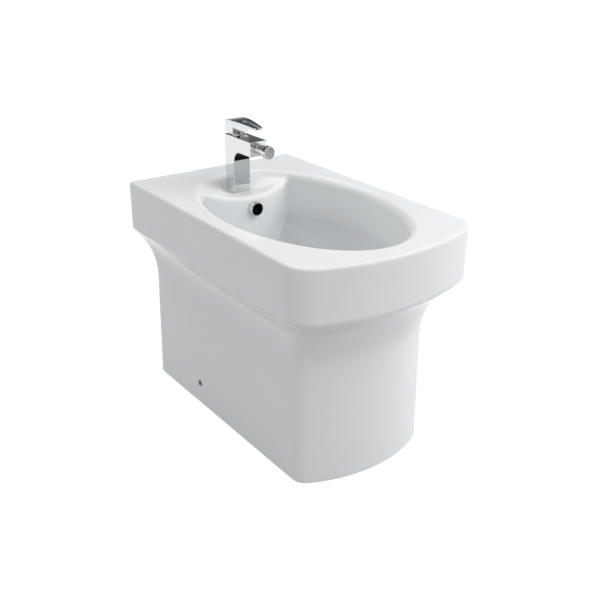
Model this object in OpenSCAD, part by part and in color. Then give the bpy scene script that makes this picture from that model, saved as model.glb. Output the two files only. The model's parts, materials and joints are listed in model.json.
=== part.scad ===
// Floor standing bidet: a vitreous china bowl on a back-to-wall pedestal, with a
// single-lever tap, ball-joint nozzle, push waste and bottle trap. Millimetres.
// The front faces -Y, the wall is at the +Y end, and Z = 0 is the floor.

/* [Overall] */
// Width of the rim
body_w = 360; // [320:1:420]
// Length from the wall to the front of the rim
body_l = 565; // [520:1:640]
// Height of the rim above the floor
rim_h = 415; // [380:1:460]

/* [China shell] */
// Height of the upright band round the rim
band_h = 95; // [70:1:120]
// How far the front of the rim bows out
front_bow = 42; // [20:1:60]
// Radius of the rim's front corners, seen from above
rim_corner_r = 48; // [20:1:60]
// Radius of the rim's rounded top edge
rim_edge_r = 7.5; // [3:0.5:9]
// Radius of the band's rounded bottom edge
band_edge_r = 12; // [5:0.5:14]
// Radius of the hollow curve under the band
cove_r = 148; // [120:1:170]
// Angle that the hollow curve sweeps
cove_angle = 45; // [35:1:50]
// How far the pedestal's neck stands back from the rim's front
neck_front_inset = 57; // [40:1:80]
// How far the pedestal spreads from its neck to the floor
foot_flare = 3; // [0:0.5:8]
// How far the pedestal's front bows out
ped_bow = 37; // [15:1:50]
// Radius of the pedestal's front corners
ped_corner_r = 28; // [15:1:45]
// Thickness of the outer walls
wall_t = 12; // [9:0.5:14]
// Thickness of the rim's top
rim_top_t = 15; // [10:0.5:18]
// Half width of the opening in the pedestal's back
back_open_hw = 104; // [90:1:108]
// Height of the opening in the pedestal's back
back_open_h = 290; // [200:1:300]
// Radius of that opening's top corners
back_open_r = 40; // [10:1:60]

/* [Bowl] */
// Width of the rim beside the bowl
rim_side_w = 38; // [36:0.5:60]
// Width of the rim in front of the bowl
rim_front_w = 47.5; // [44:0.5:80]
// Width of the rim behind the bowl
rim_rear_w = 59.5; // [56:0.5:90]
// Radius of the rounded lip round the bowl's mouth
lip_r = 14; // [6:1:16]
// Depth of the bowl's floor below the rim
bowl_depth = 147; // [120:1:160]
// Fullness of the bowl's side, where 2 is an ellipse
bowl_full = 2.05; // [1.8:0.05:3]
// Share of the bowl's size that stays flat at its floor
floor_share = 0.23; // [0.23:0.01:0.3]
// Thickness of the bowl's shell
bowl_t = 11; // [9:0.5:13]

/* [Tap deck] */
// Depth of the tap deck below the rim
deck_drop = 26; // [20:1:30]
// Thickness of the tap deck
deck_t = 14; // [10:1:18]
// Distance of the centre of the deck's front wall from the room's wall
deck_wall_gap = 148.5; // [140:0.5:152]
// Radius of the deck's bowed front wall
deck_bow_r = 171; // [150:1:300]
// Radius of the deck's rounded front edge
deck_edge_r = 12; // [4:0.5:14]
// Lean of the front wall, in mm forward per mm down
deck_lean = 0; // [0:0.01:0.1]
// Diameter of the tap hole
tap_hole_d = 28; // [26:0.5:30]
// Distance of the tap's centre from the wall
tap_wall_gap = 91.75; // [86:0.25:95]

/* [Overflow] */
// Depth of the overflow's centre below the rim
overflow_drop = 45; // [38:1:52]
// Diameter of the overflow bore
overflow_bore_d = 22.4; // [20:0.2:24]
// Outer diameter of the overflow ring's spigot
overflow_spigot_d = 22; // [19:0.2:23.4]
// How far the overflow ring stands out of the wall
overflow_stand = 10; // [4:0.5:12]
// Diameter of the hole in the overflow ring
overflow_hole_d = 21; // [16:0.5:21]
// Diameter of the channel that carries overflow water down
channel_d = 16; // [12:1:18]

/* [Side fixings] */
// Distance of the side fixing from the wall
fix_wall_gap = 155.5; // [120:0.5:200]
// Height of the side fixing above the floor
fix_z = 44; // [40:1:60]
// Diameter of the fixing hole in the china
fix_hole_d = 12; // [10:0.5:14]
// Shank diameter of the side screw
side_screw_d = 6; // [5:0.5:7]
// Diameter of the side screw's head
side_screw_head_d = 9; // [8:0.5:9.5]
// Shank diameter of the floor bolt
floor_bolt_d = 8; // [6:1:10]

/* [Tap body] */
// Width of the tap
tap_w = 35; // [34:0.5:44]
// Depth of the tap's column, front to back
tap_d = 30.5; // [30:0.5:38]
// Height of the tap's flat top above the deck
tap_h = 109.5; // [100:0.5:140]
// Reach of the spout in front of the column
spout_reach = 55; // [45:1:80]
// Height of the spout, from its underside to its top
spout_t = 27; // [25:0.5:32]
// Radius of the arch under the spout
arch_r = 19; // [10:1:24]
// Thickness of the rubber gasket under the tap
gasket_t = 1.5; // [1:0.25:3]
// Thread diameter of each hose inlet
inlet_d = 10; // [8:1:10]
// Distance between the hose inlets
inlet_gap = 14; // [12:0.5:15]
// Thread diameter of the mounting stud
stud_d = 6; // [5:1:8]
// Length of the mounting stud
stud_l = 62; // [50:1:80]

/* [Cartridge] */
// Outer diameter of the cartridge
cart_d = 25.4; // [24:0.2:25.6]
// Diameter of the cartridge bore
cart_bore_d = 26.4; // [25:0.2:26.6]
// Depth of the cartridge bore below the tap's top
cart_depth = 36.5; // [35:0.5:40]
// Thread diameter of the cartridge nut
nut_d = 28; // [27:0.2:28.4]
// Height of the lever's pivot above the cartridge seat
pivot_up = 28; // [27:0.5:29]
// Radius of the ball-shaped dome round the pivot
dome_r = 18.2; // [17:0.1:18.4]
// Diameter of the spindle pin
pin_d = 3; // [2:0.5:4]
// Side of the square spindle
spindle_s = 7; // [6:0.5:8]

/* [Lever] */
// Gap between the lever's hub and the top of the tap
lever_gap = 4.8; // [4:0.1:6]
// Height of the lever's hub
hub_h = 23.5; // [20:0.5:28]
// Depth of the lever's hub, front to back
hub_d = 26; // [24:0.5:28]
// Length of the lever's blade in front of the hub
blade_l = 58.5; // [40:0.5:80]
// Width of the blade at its tip
blade_tip_w = 19; // [14:0.5:30]
// Thickness of the blade where it leaves the hub
blade_root_t = 6; // [4:0.25:8]
// Thickness of the blade at its tip
blade_tip_t = 4; // [3.4:0.2:6]
// Width of the finger groove in the blade
groove_w = 10; // [6:0.5:12]
// Depth of the finger groove
groove_t = 2.2; // [1:0.2:3]

/* [Nozzle] */
// Thread diameter of the nozzle socket in the spout
socket_d = 20; // [18:0.5:21]
// Depth of the nozzle socket
socket_depth = 14; // [12:1:18]
// Outer diameter of the ball housing's lip
housing_d = 22; // [21:0.2:25]
// How far the ball housing's lip stands out of the spout
housing_l = 1.4; // [1:0.1:3]
// Diameter of the ball
ball_d = 17; // [15:0.5:17]
// Diameter of the nozzle's collar
sleeve_d = 23.6; // [23:0.2:26]
// Length of the nozzle's outer sleeve
sleeve_l = 28.3; // [24:0.1:36]
// Gap between the sleeve and the spout
sleeve_gap = 7; // [6:0.5:10]

/* [Waste] */
// Distance of the waste's centre from the room's wall
drain_wall_gap = 242.5; // [232:0.5:262]
// Diameter of the waste hole in the china
waste_hole_d = 46; // [45:0.5:48]
// Outer diameter of the waste's threaded tube
waste_tube_d = 41.9; // [41:0.1:42.5]
// Length of the waste's tube below its flange
waste_tube_l = 72; // [68:1:80]
// Diameter of the waste's flange
waste_flange_d = 62; // [58:1:64]
// Travel of the push plug
plug_travel = 8; // [6:0.5:9]
// Thickness of the china at the waste hole
waste_boss_t = 27; // [24:1:30]

/* [Trap] */
// Outer diameter of the outlet pipe
pipe_d = 32; // [30:0.5:34]
// Wall of the trap's pipes
pipe_t = 1.5; // [1:0.25:2]
// Free length of the dip tube between its two nuts
nut_gap = 1.5; // [0.5:0.5:12]
// Length of the trap's cup
cup_l = 52; // [48:1:60]

/* [Hidden] */
$fn = 64;

// Colours
glaze = "#eef1f1";
chrome = "#c9cccf";
dark_chrome = "#8d9296";
brass = "#b99a55";
steel = "#a9adb1";
rubber = "#2c2c2e";
white_plastic = "#e4e6e4";
grey_plastic = "#9a9fa2";
black_plastic = "#3a3c3f";
oxide_ceramic = "#f6f3ea";

// Overlap that makes a cut run past a face
cut = 1;
// Clearance between fixed pieces that lie inside one another
slack = 0.3;
// Radial clearance of a threaded or running fit
fit_gap = 0.1;

// Levels and places of the china
rear_y = body_l / 2;
front_y = -body_l / 2;
band_z = rim_h - band_h;
cove_reach = cove_r * (1 - cos(cove_angle));
neck_inset = cove_reach + band_edge_r * (1 - cos(cove_angle));
neck_z = band_z - cove_r * sin(cove_angle);
wall_z = rim_h - lip_r;
floor_z = rim_h - bowl_depth;
deck_z = rim_h - deck_drop;
tap_y = rear_y - tap_wall_gap;
bowl_a = body_w / 2 - rim_side_w;
bowl_b = (body_l - rim_front_w - rim_rear_w) / 2;
bowl_y = (rim_front_w - rim_rear_w) / 2;
deck_front_y = rear_y - deck_wall_gap;
drain_y = rear_y - drain_wall_gap;
overflow_z = rim_h - overflow_drop;
fix_y = rear_y - fix_wall_gap;
fix_x = body_w / 2 - neck_inset + foot_flare;

// Points of one outline, seen from above: a straight back and sides, rounded front
// corners and a bowed front. The arc counts are the same for every outline.
corner_steps = 6;
bow_steps = 8;

function mix(a, b, t) = a + (b - a) * t;

function arc_points(cx, cy, r, from, to, steps) = [
    for (i = [0:steps])
        let (a = mix(from, to, i / steps))
            [cx + r * cos(a), cy + r * sin(a)]
];

function outline(hw, back, front, bow, r) =
    let (
        bow_r = (hw * hw + bow * bow) / (2 * bow),
        bow_c = front + bow_r,
        corner_x = hw - r,
        corner_c = bow_c - sqrt(pow(bow_r - r, 2) - corner_x * corner_x),
        turn = atan2(corner_c - bow_c, -corner_x)
    )
    concat(
        [[hw, back], [-hw, back]],
        arc_points(-corner_x, corner_c, r, 180, 360 + turn, corner_steps),
        [
            for (i = [1:bow_steps - 1])
                let (a = mix(turn, -180 - turn, i / bow_steps))
                    [bow_r * cos(a), bow_c + bow_r * sin(a)]
        ],
        arc_points(corner_x, corner_c, r, -180 - turn, 0, corner_steps)
    );

// Outline at one level of the shell: inset is its distance from the rim's side and
// t is how far it has turned from the rim's outline into the pedestal's.
function shell_ring(inset, skin, z) =
    let (t = (inset - skin) / neck_inset)
    [
        for (p = outline(
                body_w / 2 - inset,
                rear_y - skin,
                front_y + skin + t * neck_front_inset,
                mix(front_bow, ped_bow, t),
                mix(rim_corner_r, ped_corner_r, t) - skin * 0.6
            ))
            [p.x, p.y, z]
    ];

// A closed solid through a stack of outlines, the lowest first
module loft(rings) {
    m = len(rings[0]);
    n = len(rings);
    sides = [
        for (i = [0:n - 2], j = [0:m - 1])
            let (
                a = i * m + j,
                b = i * m + (j + 1) % m
            )
            each [[a, a + m, b + m], [a, b + m, b]]
    ];
    bottom = [[for (j = [0:m - 1]) j]];
    top = [[for (j = [m - 1:-1:0]) (n - 1) * m + j]];
    polyhedron(points = [for (r = rings) each r], faces = concat(bottom, sides, top));
}

// Outer skin of the china
cove_steps = 6;
edge_steps = 3;

module china_outside() {
    edge_c = band_z + band_edge_r * sin(cove_angle);
    rings = concat(
        [shell_ring(neck_inset - foot_flare, 0, 0)],
        [
            for (i = [0:cove_steps])
                let (a = cove_angle * i / cove_steps)
                    shell_ring(neck_inset - cove_r * (1 - cos(a)), 0, neck_z + cove_r * sin(a))
        ],
        [
            for (i = [1:edge_steps])
                let (a = cove_angle * (1 - i / edge_steps))
                    shell_ring(band_edge_r * (1 - cos(a)), 0, edge_c - band_edge_r * sin(a))
        ],
        [
            for (i = [0:edge_steps])
                let (a = 90 * i / edge_steps)
                    shell_ring(
                        rim_edge_r * (1 - cos(a)),
                        0,
                        rim_h - rim_edge_r * (1 - sin(a))
                    )
        ]
    );
    loft(rings);
}

// Room inside the pedestal and the rim
module china_inside() {
    inner_r = cove_r + wall_t;
    inner_angle = acos(1 - neck_inset / inner_r);
    rings = concat(
        [shell_ring(neck_inset - foot_flare + wall_t, wall_t, -cut)],
        [
            for (i = [0:cove_steps])
                let (a = inner_angle * i / cove_steps)
                    shell_ring(
                        neck_inset + wall_t - inner_r * (1 - cos(a)),
                        wall_t,
                        neck_z + inner_r * sin(a)
                    )
        ],
        [shell_ring(wall_t, wall_t, rim_h - rim_top_t)]
    );
    loft(rings);
}

// Bowl: an oval that shrinks towards its floor and stops at the deck's bowed wall.
// grow makes the same form larger, for the outside of the bowl's shell.
bowl_steps = 7;
blend_power = 60;
// Directions of the points round the bowl, closer together where the deck's wall
// meets the bowl's side
bowl_turns = concat(
    [for (i = [0:15]) -90 + 9 * i],
    [for (i = [0:10]) 50 + 2.5 * i],
    [for (i = [0:3]) 81 + 6 * i],
    [for (i = [10:-1:0]) 180 - (50 + 2.5 * i)],
    [for (i = [15:-1:1]) 270 - 9 * i]
);

function bowl_share(s) = mix(floor_share, 1, pow(1 - pow(s, bowl_full), 1 / bowl_full));

function deck_wall_y(z) =
    let (
        lean_y = deck_front_y - deck_lean * (deck_z - z),
        up = max(0, min(1, (z - deck_z + deck_edge_r) / deck_edge_r))
    )
    lean_y + deck_edge_r * (1 - sqrt(1 - up * up));

function bowl_radius(a, b, yc, wall_y, wall_r, turn) =
    let (
        oval = 1 / sqrt(pow(cos(turn) / a, 2) + pow(sin(turn) / b, 2)),
        dist = wall_y + wall_r - yc,
        reach = wall_r * wall_r - pow(dist * cos(turn), 2),
        hit = sin(turn) > 0 && reach > 0 ? dist * sin(turn) - sqrt(reach) : 10 * b
    )
    pow(pow(oval, -blend_power) + pow(hit, -blend_power), -1 / blend_power);

function bowl_ring(share, grow, wall_level, z) =
    let (
        yc = mix(drain_y, bowl_y, share),
        wall_y = deck_wall_y(wall_level) + grow
    )
    [
        for (turn = bowl_turns)
            let (
                r = bowl_radius(
                    bowl_a * share + grow,
                    bowl_b * share + grow,
                    yc,
                    wall_y,
                    deck_bow_r - grow,
                    turn
                )
            )
                [r * cos(turn), yc + r * sin(turn), z]
    ];

module bowl_room(grow) {
    edge_levels = 3;
    low_z = deck_z - deck_edge_r;
    rings = concat(
        [
            for (i = [bowl_steps:-1:1])
                let (
                    s = sin(90 * i / bowl_steps),
                    z = wall_z - s * (wall_z - floor_z)
                )
                    if (z < low_z - 2)
                        bowl_ring(bowl_share(s), grow, z, z - grow * pow(s, 3))
        ],
        [
            for (i = [0:edge_levels])
                let (
                    z = low_z + deck_edge_r * sin(90 * i / edge_levels),
                    s = (wall_z - z) / (wall_z - floor_z)
                )
                    bowl_ring(bowl_share(s), grow, grow > 0 ? low_z : z, z)
        ],
        [bowl_ring(1, grow, grow > 0 ? low_z : deck_z, deck_z + 4)]
    );
    loft(rings);
}

// Shallow oval above the deck, with the rounded lip of the bowl's mouth
mouth_points = 64;

function mouth_ring(grow, z) = [
    for (i = [0:mouth_points - 1])
        let (turn = 360 * i / mouth_points)
            [(bowl_a + grow) * cos(turn), bowl_y + (bowl_b + grow) * sin(turn), z]
];

module mouth_room() {
    lip_steps = 3;
    fillet_r = wall_z - deck_z - 1;
    rings = concat(
        [
            for (a = [0, 35, 90])
                mouth_ring(-fillet_r * (1 - sin(a)), deck_z + fillet_r * (1 - cos(a)))
        ],
        [
            for (i = [0:lip_steps])
                let (a = 90 * i / lip_steps)
                    mouth_ring(lip_r * (1 - cos(a)), wall_z + lip_r * sin(a))
        ],
        [mouth_ring(lip_r, rim_h + cut)]
    );
    loft(rings);
}

// China that the room inside leaves: bowl shell, deck, waste boss and channel
channel_y = deck_wall_y(overflow_z) + bowl_t + channel_d / 2 - 2;
channel_z = floor_z - 18;
channel_wall = 4;
boss_d = 76;
waste_recess = 3;
boss_z = floor_z - waste_recess - waste_boss_t;

module china_kept() {
    bowl_room(bowl_t);
    loft([
        mouth_ring(bowl_t, deck_z - deck_t),
        mouth_ring(bowl_t, rim_h)
    ]);
    translate([0, drain_y, boss_z])
        cylinder(d = boss_d, h = floor_z - boss_z);
    // upright part of the overflow channel
    half = channel_d / 2 + channel_wall;
    translate([-half - 2, channel_y - half - 8, channel_z - half])
        cube([2 * half + 4, 2 * half + 8, deck_z - deck_t - channel_z + half + 2]);
    // level part of the overflow channel, to the waste boss
    translate([-half - 2, drain_y, channel_z - half])
        cube([2 * half + 4, channel_y + half - drain_y, 2 * half]);
}

module back_opening() {
    r = back_open_r;
    deep = 4 * wall_t;
    translate([-back_open_hw, rear_y - deep / 2, -cut])
        cube([2 * back_open_hw, deep, back_open_h - r + cut]);
    translate([-back_open_hw + r, rear_y - deep / 2, 0])
        cube([2 * (back_open_hw - r), deep, back_open_h]);
    for (side = [-1, 1])
        translate([side * (back_open_hw - r), rear_y + deep / 2, back_open_h - r])
            rotate([90, 0, 0])
                cylinder(r = r, h = deep);
}

module china_body() {
    color(glaze)
        difference() {
            china_outside();
            difference() {
                china_inside();
                china_kept();
            }
            bowl_room(0);
            mouth_room();
            back_opening();
            // tap hole
            translate([0, tap_y, deck_z - deck_t - cut])
                cylinder(d = tap_hole_d, h = deck_t + 2 * cut);
            // waste hole and the seat of its flange
            translate([0, drain_y, boss_z - cut])
                cylinder(d = waste_hole_d, h = waste_boss_t + waste_recess + 2 * cut);
            translate([0, drain_y, floor_z - waste_recess])
                cylinder(d = waste_flange_d + 4, h = waste_recess + 5);
            // overflow bore and its channel
            translate([0, channel_y, overflow_z])
                rotate([90, 0, 0])
                    cylinder(d = overflow_bore_d, h = channel_y - deck_front_y + 30);
            translate([0, channel_y, channel_z - channel_d / 2])
                cylinder(d = channel_d, h = overflow_z - channel_z + channel_d / 2);
            translate([0, channel_y, channel_z])
                rotate([90, 0, 0])
                    cylinder(d = channel_d - 2, h = channel_y - drain_y);
            // side fixing holes
            for (side = [-1, 1])
                translate([side * (fix_x - 2 * wall_t), fix_y, fix_z])
                    rotate([0, side * 90, 0])
                        cylinder(d = fix_hole_d, h = 3 * wall_t);
        }
}

// Ring that trims the overflow hole
module overflow_ring() {
    spigot_r = overflow_spigot_d / 2;
    hole_r = overflow_hole_d / 2;
    front_r = spigot_r + 2.2;
    flange_r = spigot_r + 3;
    wall_y = deck_wall_y(overflow_z);
    // the wall leans, so the ring starts just clear of its nearest point
    start = slack + 0.5 + deck_lean * flange_r;
    color(chrome)
        translate([0, wall_y, overflow_z])
            rotate([90, 0, 0])
                rotate_extrude()
                    polygon([
                        [hole_r - 1, -8],
                        [spigot_r, -8],
                        [spigot_r, start],
                        [flange_r, start],
                        [flange_r, start + 1],
                        [front_r, overflow_stand - 0.8],
                        [front_r - 0.6, overflow_stand],
                        [hole_r, overflow_stand],
                        [hole_r, overflow_stand - 4]
                    ]);
}

// Side fixings: sleeve in the china, bracket behind it and a screw through both
bracket_gap = 2.5;
bracket_t = 22;
bracket_x = fix_x - wall_t - bracket_gap;
bracket_w = 34;
bracket_base_l = 62;
bracket_base_t = 6;
bracket_h = fix_z + 16;
floor_bolt_x = bracket_x - bracket_base_l + 18;
sleeve_head_t = 1.2;

module mirrored(side) {
    if (side < 0)
        mirror([1, 0, 0])
            children();
    else
        children();
}

// Where the pedestal's side stands at the fixing's level
side_x = body_w / 2 - neck_inset + foot_flare * (1 - (fix_z - fix_hole_d / 2) / neck_z);

module side_screw() {
    head_t = 4;
    tip_x = bracket_x - 16;
    head_x = side_x - 0.8;
    hex_d = 4.6;
    translate([tip_x, fix_y, fix_z])
        rotate([0, 90, 0])
            difference() {
                union() {
                    cylinder(d = side_screw_d, h = head_x - tip_x);
                    translate([0, 0, head_x - tip_x - head_t])
                        cylinder(d = side_screw_head_d, h = head_t);
                }
                translate([0, 0, head_x - tip_x - 2.5])
                    cylinder(d = hex_d, h = 2.5 + cut, $fn = 6);
            }
}

module side_screws() {
    color(chrome)
        for (side = [-1, 1])
            mirrored(side)
                side_screw();
}

module side_sleeve() {
    out_d = fix_hole_d - 2 * slack;
    in_x = side_x - wall_t + 1;
    len_x = side_x + 0.2 - in_x;
    head_room = 5.2;
    translate([in_x, fix_y, fix_z])
        rotate([0, 90, 0])
            difference() {
                cylinder(d = out_d, h = len_x);
                translate([0, 0, -cut])
                    cylinder(d = side_screw_d + 2 * slack, h = len_x + 2 * cut);
                translate([0, 0, len_x - head_room])
                    cylinder(d = side_screw_head_d + 2 * slack, h = head_room + cut);
            }
}

module side_sleeves() {
    color(grey_plastic)
        for (side = [-1, 1])
            mirrored(side)
                side_sleeve();
}

module floor_bracket() {
    rib_t = 5;
    difference() {
        union() {
            translate([bracket_x - bracket_base_l, fix_y - bracket_w / 2, 0])
                cube([bracket_base_l, bracket_w, bracket_base_t]);
            translate([bracket_x - bracket_t, fix_y - bracket_w / 2, 0])
                cube([bracket_t, bracket_w, bracket_h]);
            for (y = [-bracket_w / 2, bracket_w / 2 - rib_t])
                translate([bracket_x - bracket_t + 0.5, fix_y + y + rib_t, bracket_base_t - 0.5])
                    rotate([90, 0, 0])
                        linear_extrude(rib_t)
                            polygon([[0, 0], [-22, 0], [0, 34]]);
        }
        translate([bracket_x - bracket_t - cut, fix_y, fix_z])
            rotate([0, 90, 0])
                cylinder(d = side_screw_d + 2 * fit_gap, h = bracket_t + 2 * cut);
        translate([floor_bolt_x, fix_y, -cut])
            cylinder(d = floor_bolt_d + 1, h = bracket_base_t + 2 * cut);
    }
}

module floor_bracket_left() {
    color(white_plastic)
        mirrored(-1)
            floor_bracket();
}

module floor_bracket_right() {
    color(white_plastic)
        floor_bracket();
}

washer_t = 1.6;

module floor_washers() {
    color(steel)
        for (side = [-1, 1])
            translate([side * floor_bolt_x, fix_y, bracket_base_t])
                difference() {
                    cylinder(d = 2.4 * floor_bolt_d, h = washer_t);
                    translate([0, 0, -cut])
                        cylinder(d = floor_bolt_d + 1, h = washer_t + 2 * cut);
                }
}

module floor_bolts() {
    head_h = 5.5;
    color(steel)
        for (side = [-1, 1])
            translate([side * floor_bolt_x, fix_y, 0]) {
                cylinder(d = floor_bolt_d, h = bracket_base_t + washer_t + cut);
                translate([0, 0, bracket_base_t + washer_t])
                    cylinder(d = 1.65 * floor_bolt_d, h = head_h, $fn = 6);
            }
}

// The tap is drawn from the middle of its foot, on the deck
cart_y = -1.25;
stud_y = -8.5;
inlet_y = 2.25;
spout_front = -tap_d / 2 - spout_reach;
spout_z = tap_h - spout_t;
socket_z = tap_h - spout_t / 2;
cart_z = tap_h - cart_depth;
pivot_z = cart_z + pivot_up;

module at_tap() {
    translate([0, tap_y, deck_z])
        children();
}

module at_cartridge() {
    at_tap()
        translate([0, cart_y, cart_z])
            children();
}

module base_gasket() {
    inset = 1;
    color(rubber)
        at_tap()
            difference() {
                translate([-tap_w / 2 + inset, -tap_d / 2 + inset, 0])
                    cube([tap_w - 2 * inset, tap_d - 2 * inset, gasket_t]);
                translate([0, 0, -cut])
                    cylinder(d = tap_hole_d - 2, h = gasket_t + 2 * cut);
            }
}

module tap_body() {
    port_d = 6;
    color(chrome)
        at_tap()
            difference() {
                union() {
                    translate([-tap_w / 2, -tap_d / 2, gasket_t])
                        cube([tap_w, tap_d, tap_h - gasket_t]);
                    translate([-tap_w / 2, spout_front, spout_z])
                        cube([tap_w, spout_reach + 1, spout_t]);
                    // arch between the column and the spout
                    difference() {
                        translate([-tap_w / 2, -tap_d / 2 - arch_r, spout_z - arch_r])
                            cube([tap_w, arch_r + 1, arch_r + 1]);
                        translate([0, -tap_d / 2 - arch_r, spout_z - arch_r])
                            rotate([0, 90, 0])
                                cylinder(r = arch_r, h = tap_w + 2, center = true);
                    }
                }
                // cartridge bore and the thread of its nut
                translate([0, cart_y, cart_z])
                    cylinder(d = cart_bore_d, h = cart_depth + cut);
                translate([0, cart_y, cart_z + housing_top - slack])
                    cylinder(d = nut_d + 2 * fit_gap, h = cart_depth);
                // hose inlets and the ports above them
                for (x = [-inlet_gap / 2, inlet_gap / 2])
                    translate([x, inlet_y, 0]) {
                        cylinder(d = inlet_d, h = gasket_t + 14);
                        cylinder(d = port_d, h = cart_z + cut);
                    }
                // mounting stud
                translate([0, stud_y, 0])
                    cylinder(d = stud_d + 2 * fit_gap, h = gasket_t + 12);
                // water way and nozzle socket
                translate([0, cart_y, socket_z])
                    rotate([90, 0, 0])
                        cylinder(d = 8, h = -spout_front + cart_y - socket_depth + cut);
                translate([0, spout_front + socket_depth, socket_z])
                    rotate([90, 0, 0])
                        cylinder(d = socket_d, h = socket_depth + cut);
            }
}

// Under the deck
rubber_t = 3;
plate_t = 1.6;
horseshoe_d = 42;
// Width of the slot that the hoses pass through
hose_slot = 26;

module horseshoe(t, d, slot) {
    difference() {
        cylinder(d = d, h = t);
        translate([0, 0, -cut]) {
            cylinder(d = slot, h = t + 2 * cut);
            translate([-slot / 2, 0, 0])
                cube([slot, d, t + 2 * cut]);
        }
    }
}

module horseshoe_rubber() {
    color(rubber)
        at_tap()
            translate([0, 0, -deck_t - rubber_t])
                difference() {
                    horseshoe(rubber_t, horseshoe_d - 1, hose_slot);
                    translate([0, stud_y, -cut])
                        cylinder(d = stud_d + 2 * slack, h = rubber_t + 2 * cut);
                }
}

module horseshoe_plate() {
    color(steel)
        at_tap()
            translate([0, 0, -deck_t - rubber_t - plate_t])
                difference() {
                    cylinder(d = horseshoe_d, h = plate_t);
                    translate([-hose_slot / 2, stud_y + stud_d / 2 + 1.5, -cut])
                        cube([hose_slot, horseshoe_d, plate_t + 2 * cut]);
                    translate([0, stud_y, -cut])
                        cylinder(d = stud_d + 2 * slack, h = plate_t + 2 * cut);
                }
}

module mounting_nut() {
    nut_h = 12;
    color(brass)
        at_tap()
            translate([0, stud_y, -deck_t - rubber_t - plate_t - nut_h])
                difference() {
                    cylinder(d = 1.9 * stud_d, h = nut_h, $fn = 6);
                    translate([0, 0, -cut])
                        cylinder(d = stud_d + 2 * fit_gap, h = nut_h + 2 * cut);
                }
}

module mounting_stud() {
    color(brass)
        at_tap()
            translate([0, stud_y, gasket_t + 11.5 - stud_l])
                cylinder(d = stud_d, h = stud_l);
}

// Cartridge, drawn upwards from its seat
seal_t = 1.8;
base_t = 6;
disc_z = seal_t + base_t;
disc_t = 3;
carrier_z = disc_z + 2 * disc_t;
carrier_t = 4;
guide_z = carrier_z + carrier_t + 0.4;
housing_top = cart_depth - 9.4;
disc_shift = 1.8;
disc_travel = 3.6;
inlet_dy = inlet_y - cart_y;

module port_holes(h, d) {
    for (x = [-inlet_gap / 2, inlet_gap / 2])
        translate([x, inlet_dy, -cut])
            cylinder(d = d, h = h + 2 * cut);
}

module cartridge_seal() {
    color(rubber)
        at_cartridge()
            difference() {
                cylinder(d = cart_d - 1, h = seal_t);
                port_holes(seal_t, 6);
            }
}

module cartridge_base() {
    color(white_plastic)
        at_cartridge()
            translate([0, 0, seal_t])
                difference() {
                    cylinder(d = cart_d, h = base_t);
                    port_holes(base_t, 6);
                    // outlet from the discs to the ring of water round the cartridge
                    translate([0, -5, 1.5])
                        cylinder(d = 6, h = base_t);
                    translate([-3, -cart_d, 1.5])
                        cube([6, cart_d - 5, 3]);
                }
}

module cartridge_housing() {
    h = housing_top - disc_z;
    color(white_plastic)
        at_cartridge()
            translate([0, 0, disc_z])
                difference() {
                    cylinder(d = cart_d, h = h);
                    translate([0, 0, -cut])
                        cylinder(d = cart_d - 3, h = h - 3 + cut);
                    cylinder(d = 19.4, h = h + cut);
                }
}

module fixed_disc() {
    color(oxide_ceramic)
        at_cartridge()
            translate([0, 0, disc_z])
                difference() {
                    cylinder(d = cart_d - 3 - 2 * slack, h = disc_t);
                    port_holes(disc_t, 5);
                    translate([0, -5, -cut])
                        cylinder(d = 5, h = disc_t + 2 * cut);
                }
}

module moving_disc() {
    color(oxide_ceramic)
        at_cartridge()
            translate([0, disc_shift, disc_z + disc_t])
                difference() {
                    cylinder(d = 17, h = disc_t);
                    // mixing chamber in its underside
                    translate([0, -2, -cut])
                        cylinder(d = 9, h = 1.6 + cut);
                }
}

ball_end_d = 6;
ball_socket_t = 3.2;
ball_end_z = carrier_z + carrier_t - ball_socket_t + slack + ball_end_d / 2;

module disc_carrier() {
    color(black_plastic)
        at_cartridge()
            translate([0, disc_shift, carrier_z])
                difference() {
                    cylinder(d = 17, h = carrier_t);
                    // socket for the spindle's lower end
                    translate([0, -disc_shift, carrier_t - ball_socket_t])
                        cylinder(d = ball_end_d + 2.4, h = carrier_t);
                }
}

module spindle_guide() {
    h = housing_top + 1.6 - guide_z;
    color(grey_plastic)
        at_cartridge()
            translate([0, 0, guide_z])
                difference() {
                    cylinder(d = 18.8, h = h);
                    // slot that lets the spindle tip to and fro
                    translate([-spindle_s / 2 - slack, -7.5, -cut])
                        cube([spindle_s + 2 * slack, 15.6, h + 2 * cut]);
                    translate([-10, 0, pivot_up - guide_z])
                        rotate([0, 90, 0])
                            cylinder(d = pin_d, h = 20);
                }
}

module spindle_pin() {
    color(steel)
        at_cartridge()
            translate([-9, 0, pivot_up])
                rotate([0, 90, 0])
                    cylinder(d = pin_d - 0.04, h = 18);
}

spindle_top = pivot_up + 22;

module spindle() {
    s = spindle_s;
    color(steel)
        at_cartridge()
            difference() {
                union() {
                    translate([-s / 2, -s / 2, pivot_up - 5])
                        cube([s, s, spindle_top - pivot_up + 5]);
                    translate([0, 0, ball_end_z])
                        cylinder(d = ball_end_d - 1, h = pivot_up - ball_end_z - 4);
                    translate([0, 0, ball_end_z])
                        sphere(d = ball_end_d);
                }
                translate([-10, 0, pivot_up])
                    rotate([0, 90, 0])
                        cylinder(d = pin_d + fit_gap, h = 20);
            }
}

module cartridge_nut() {
    low = housing_top;
    color(brass)
        at_cartridge()
            translate([0, 0, low])
                difference() {
                    cylinder(d = nut_d, h = 9);
                    translate([0, 0, -cut])
                        cylinder(d = 20.4, h = 9 + 2 * cut);
                }
}

dome_t = 1.4;
dome_hole_d = 21;

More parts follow.
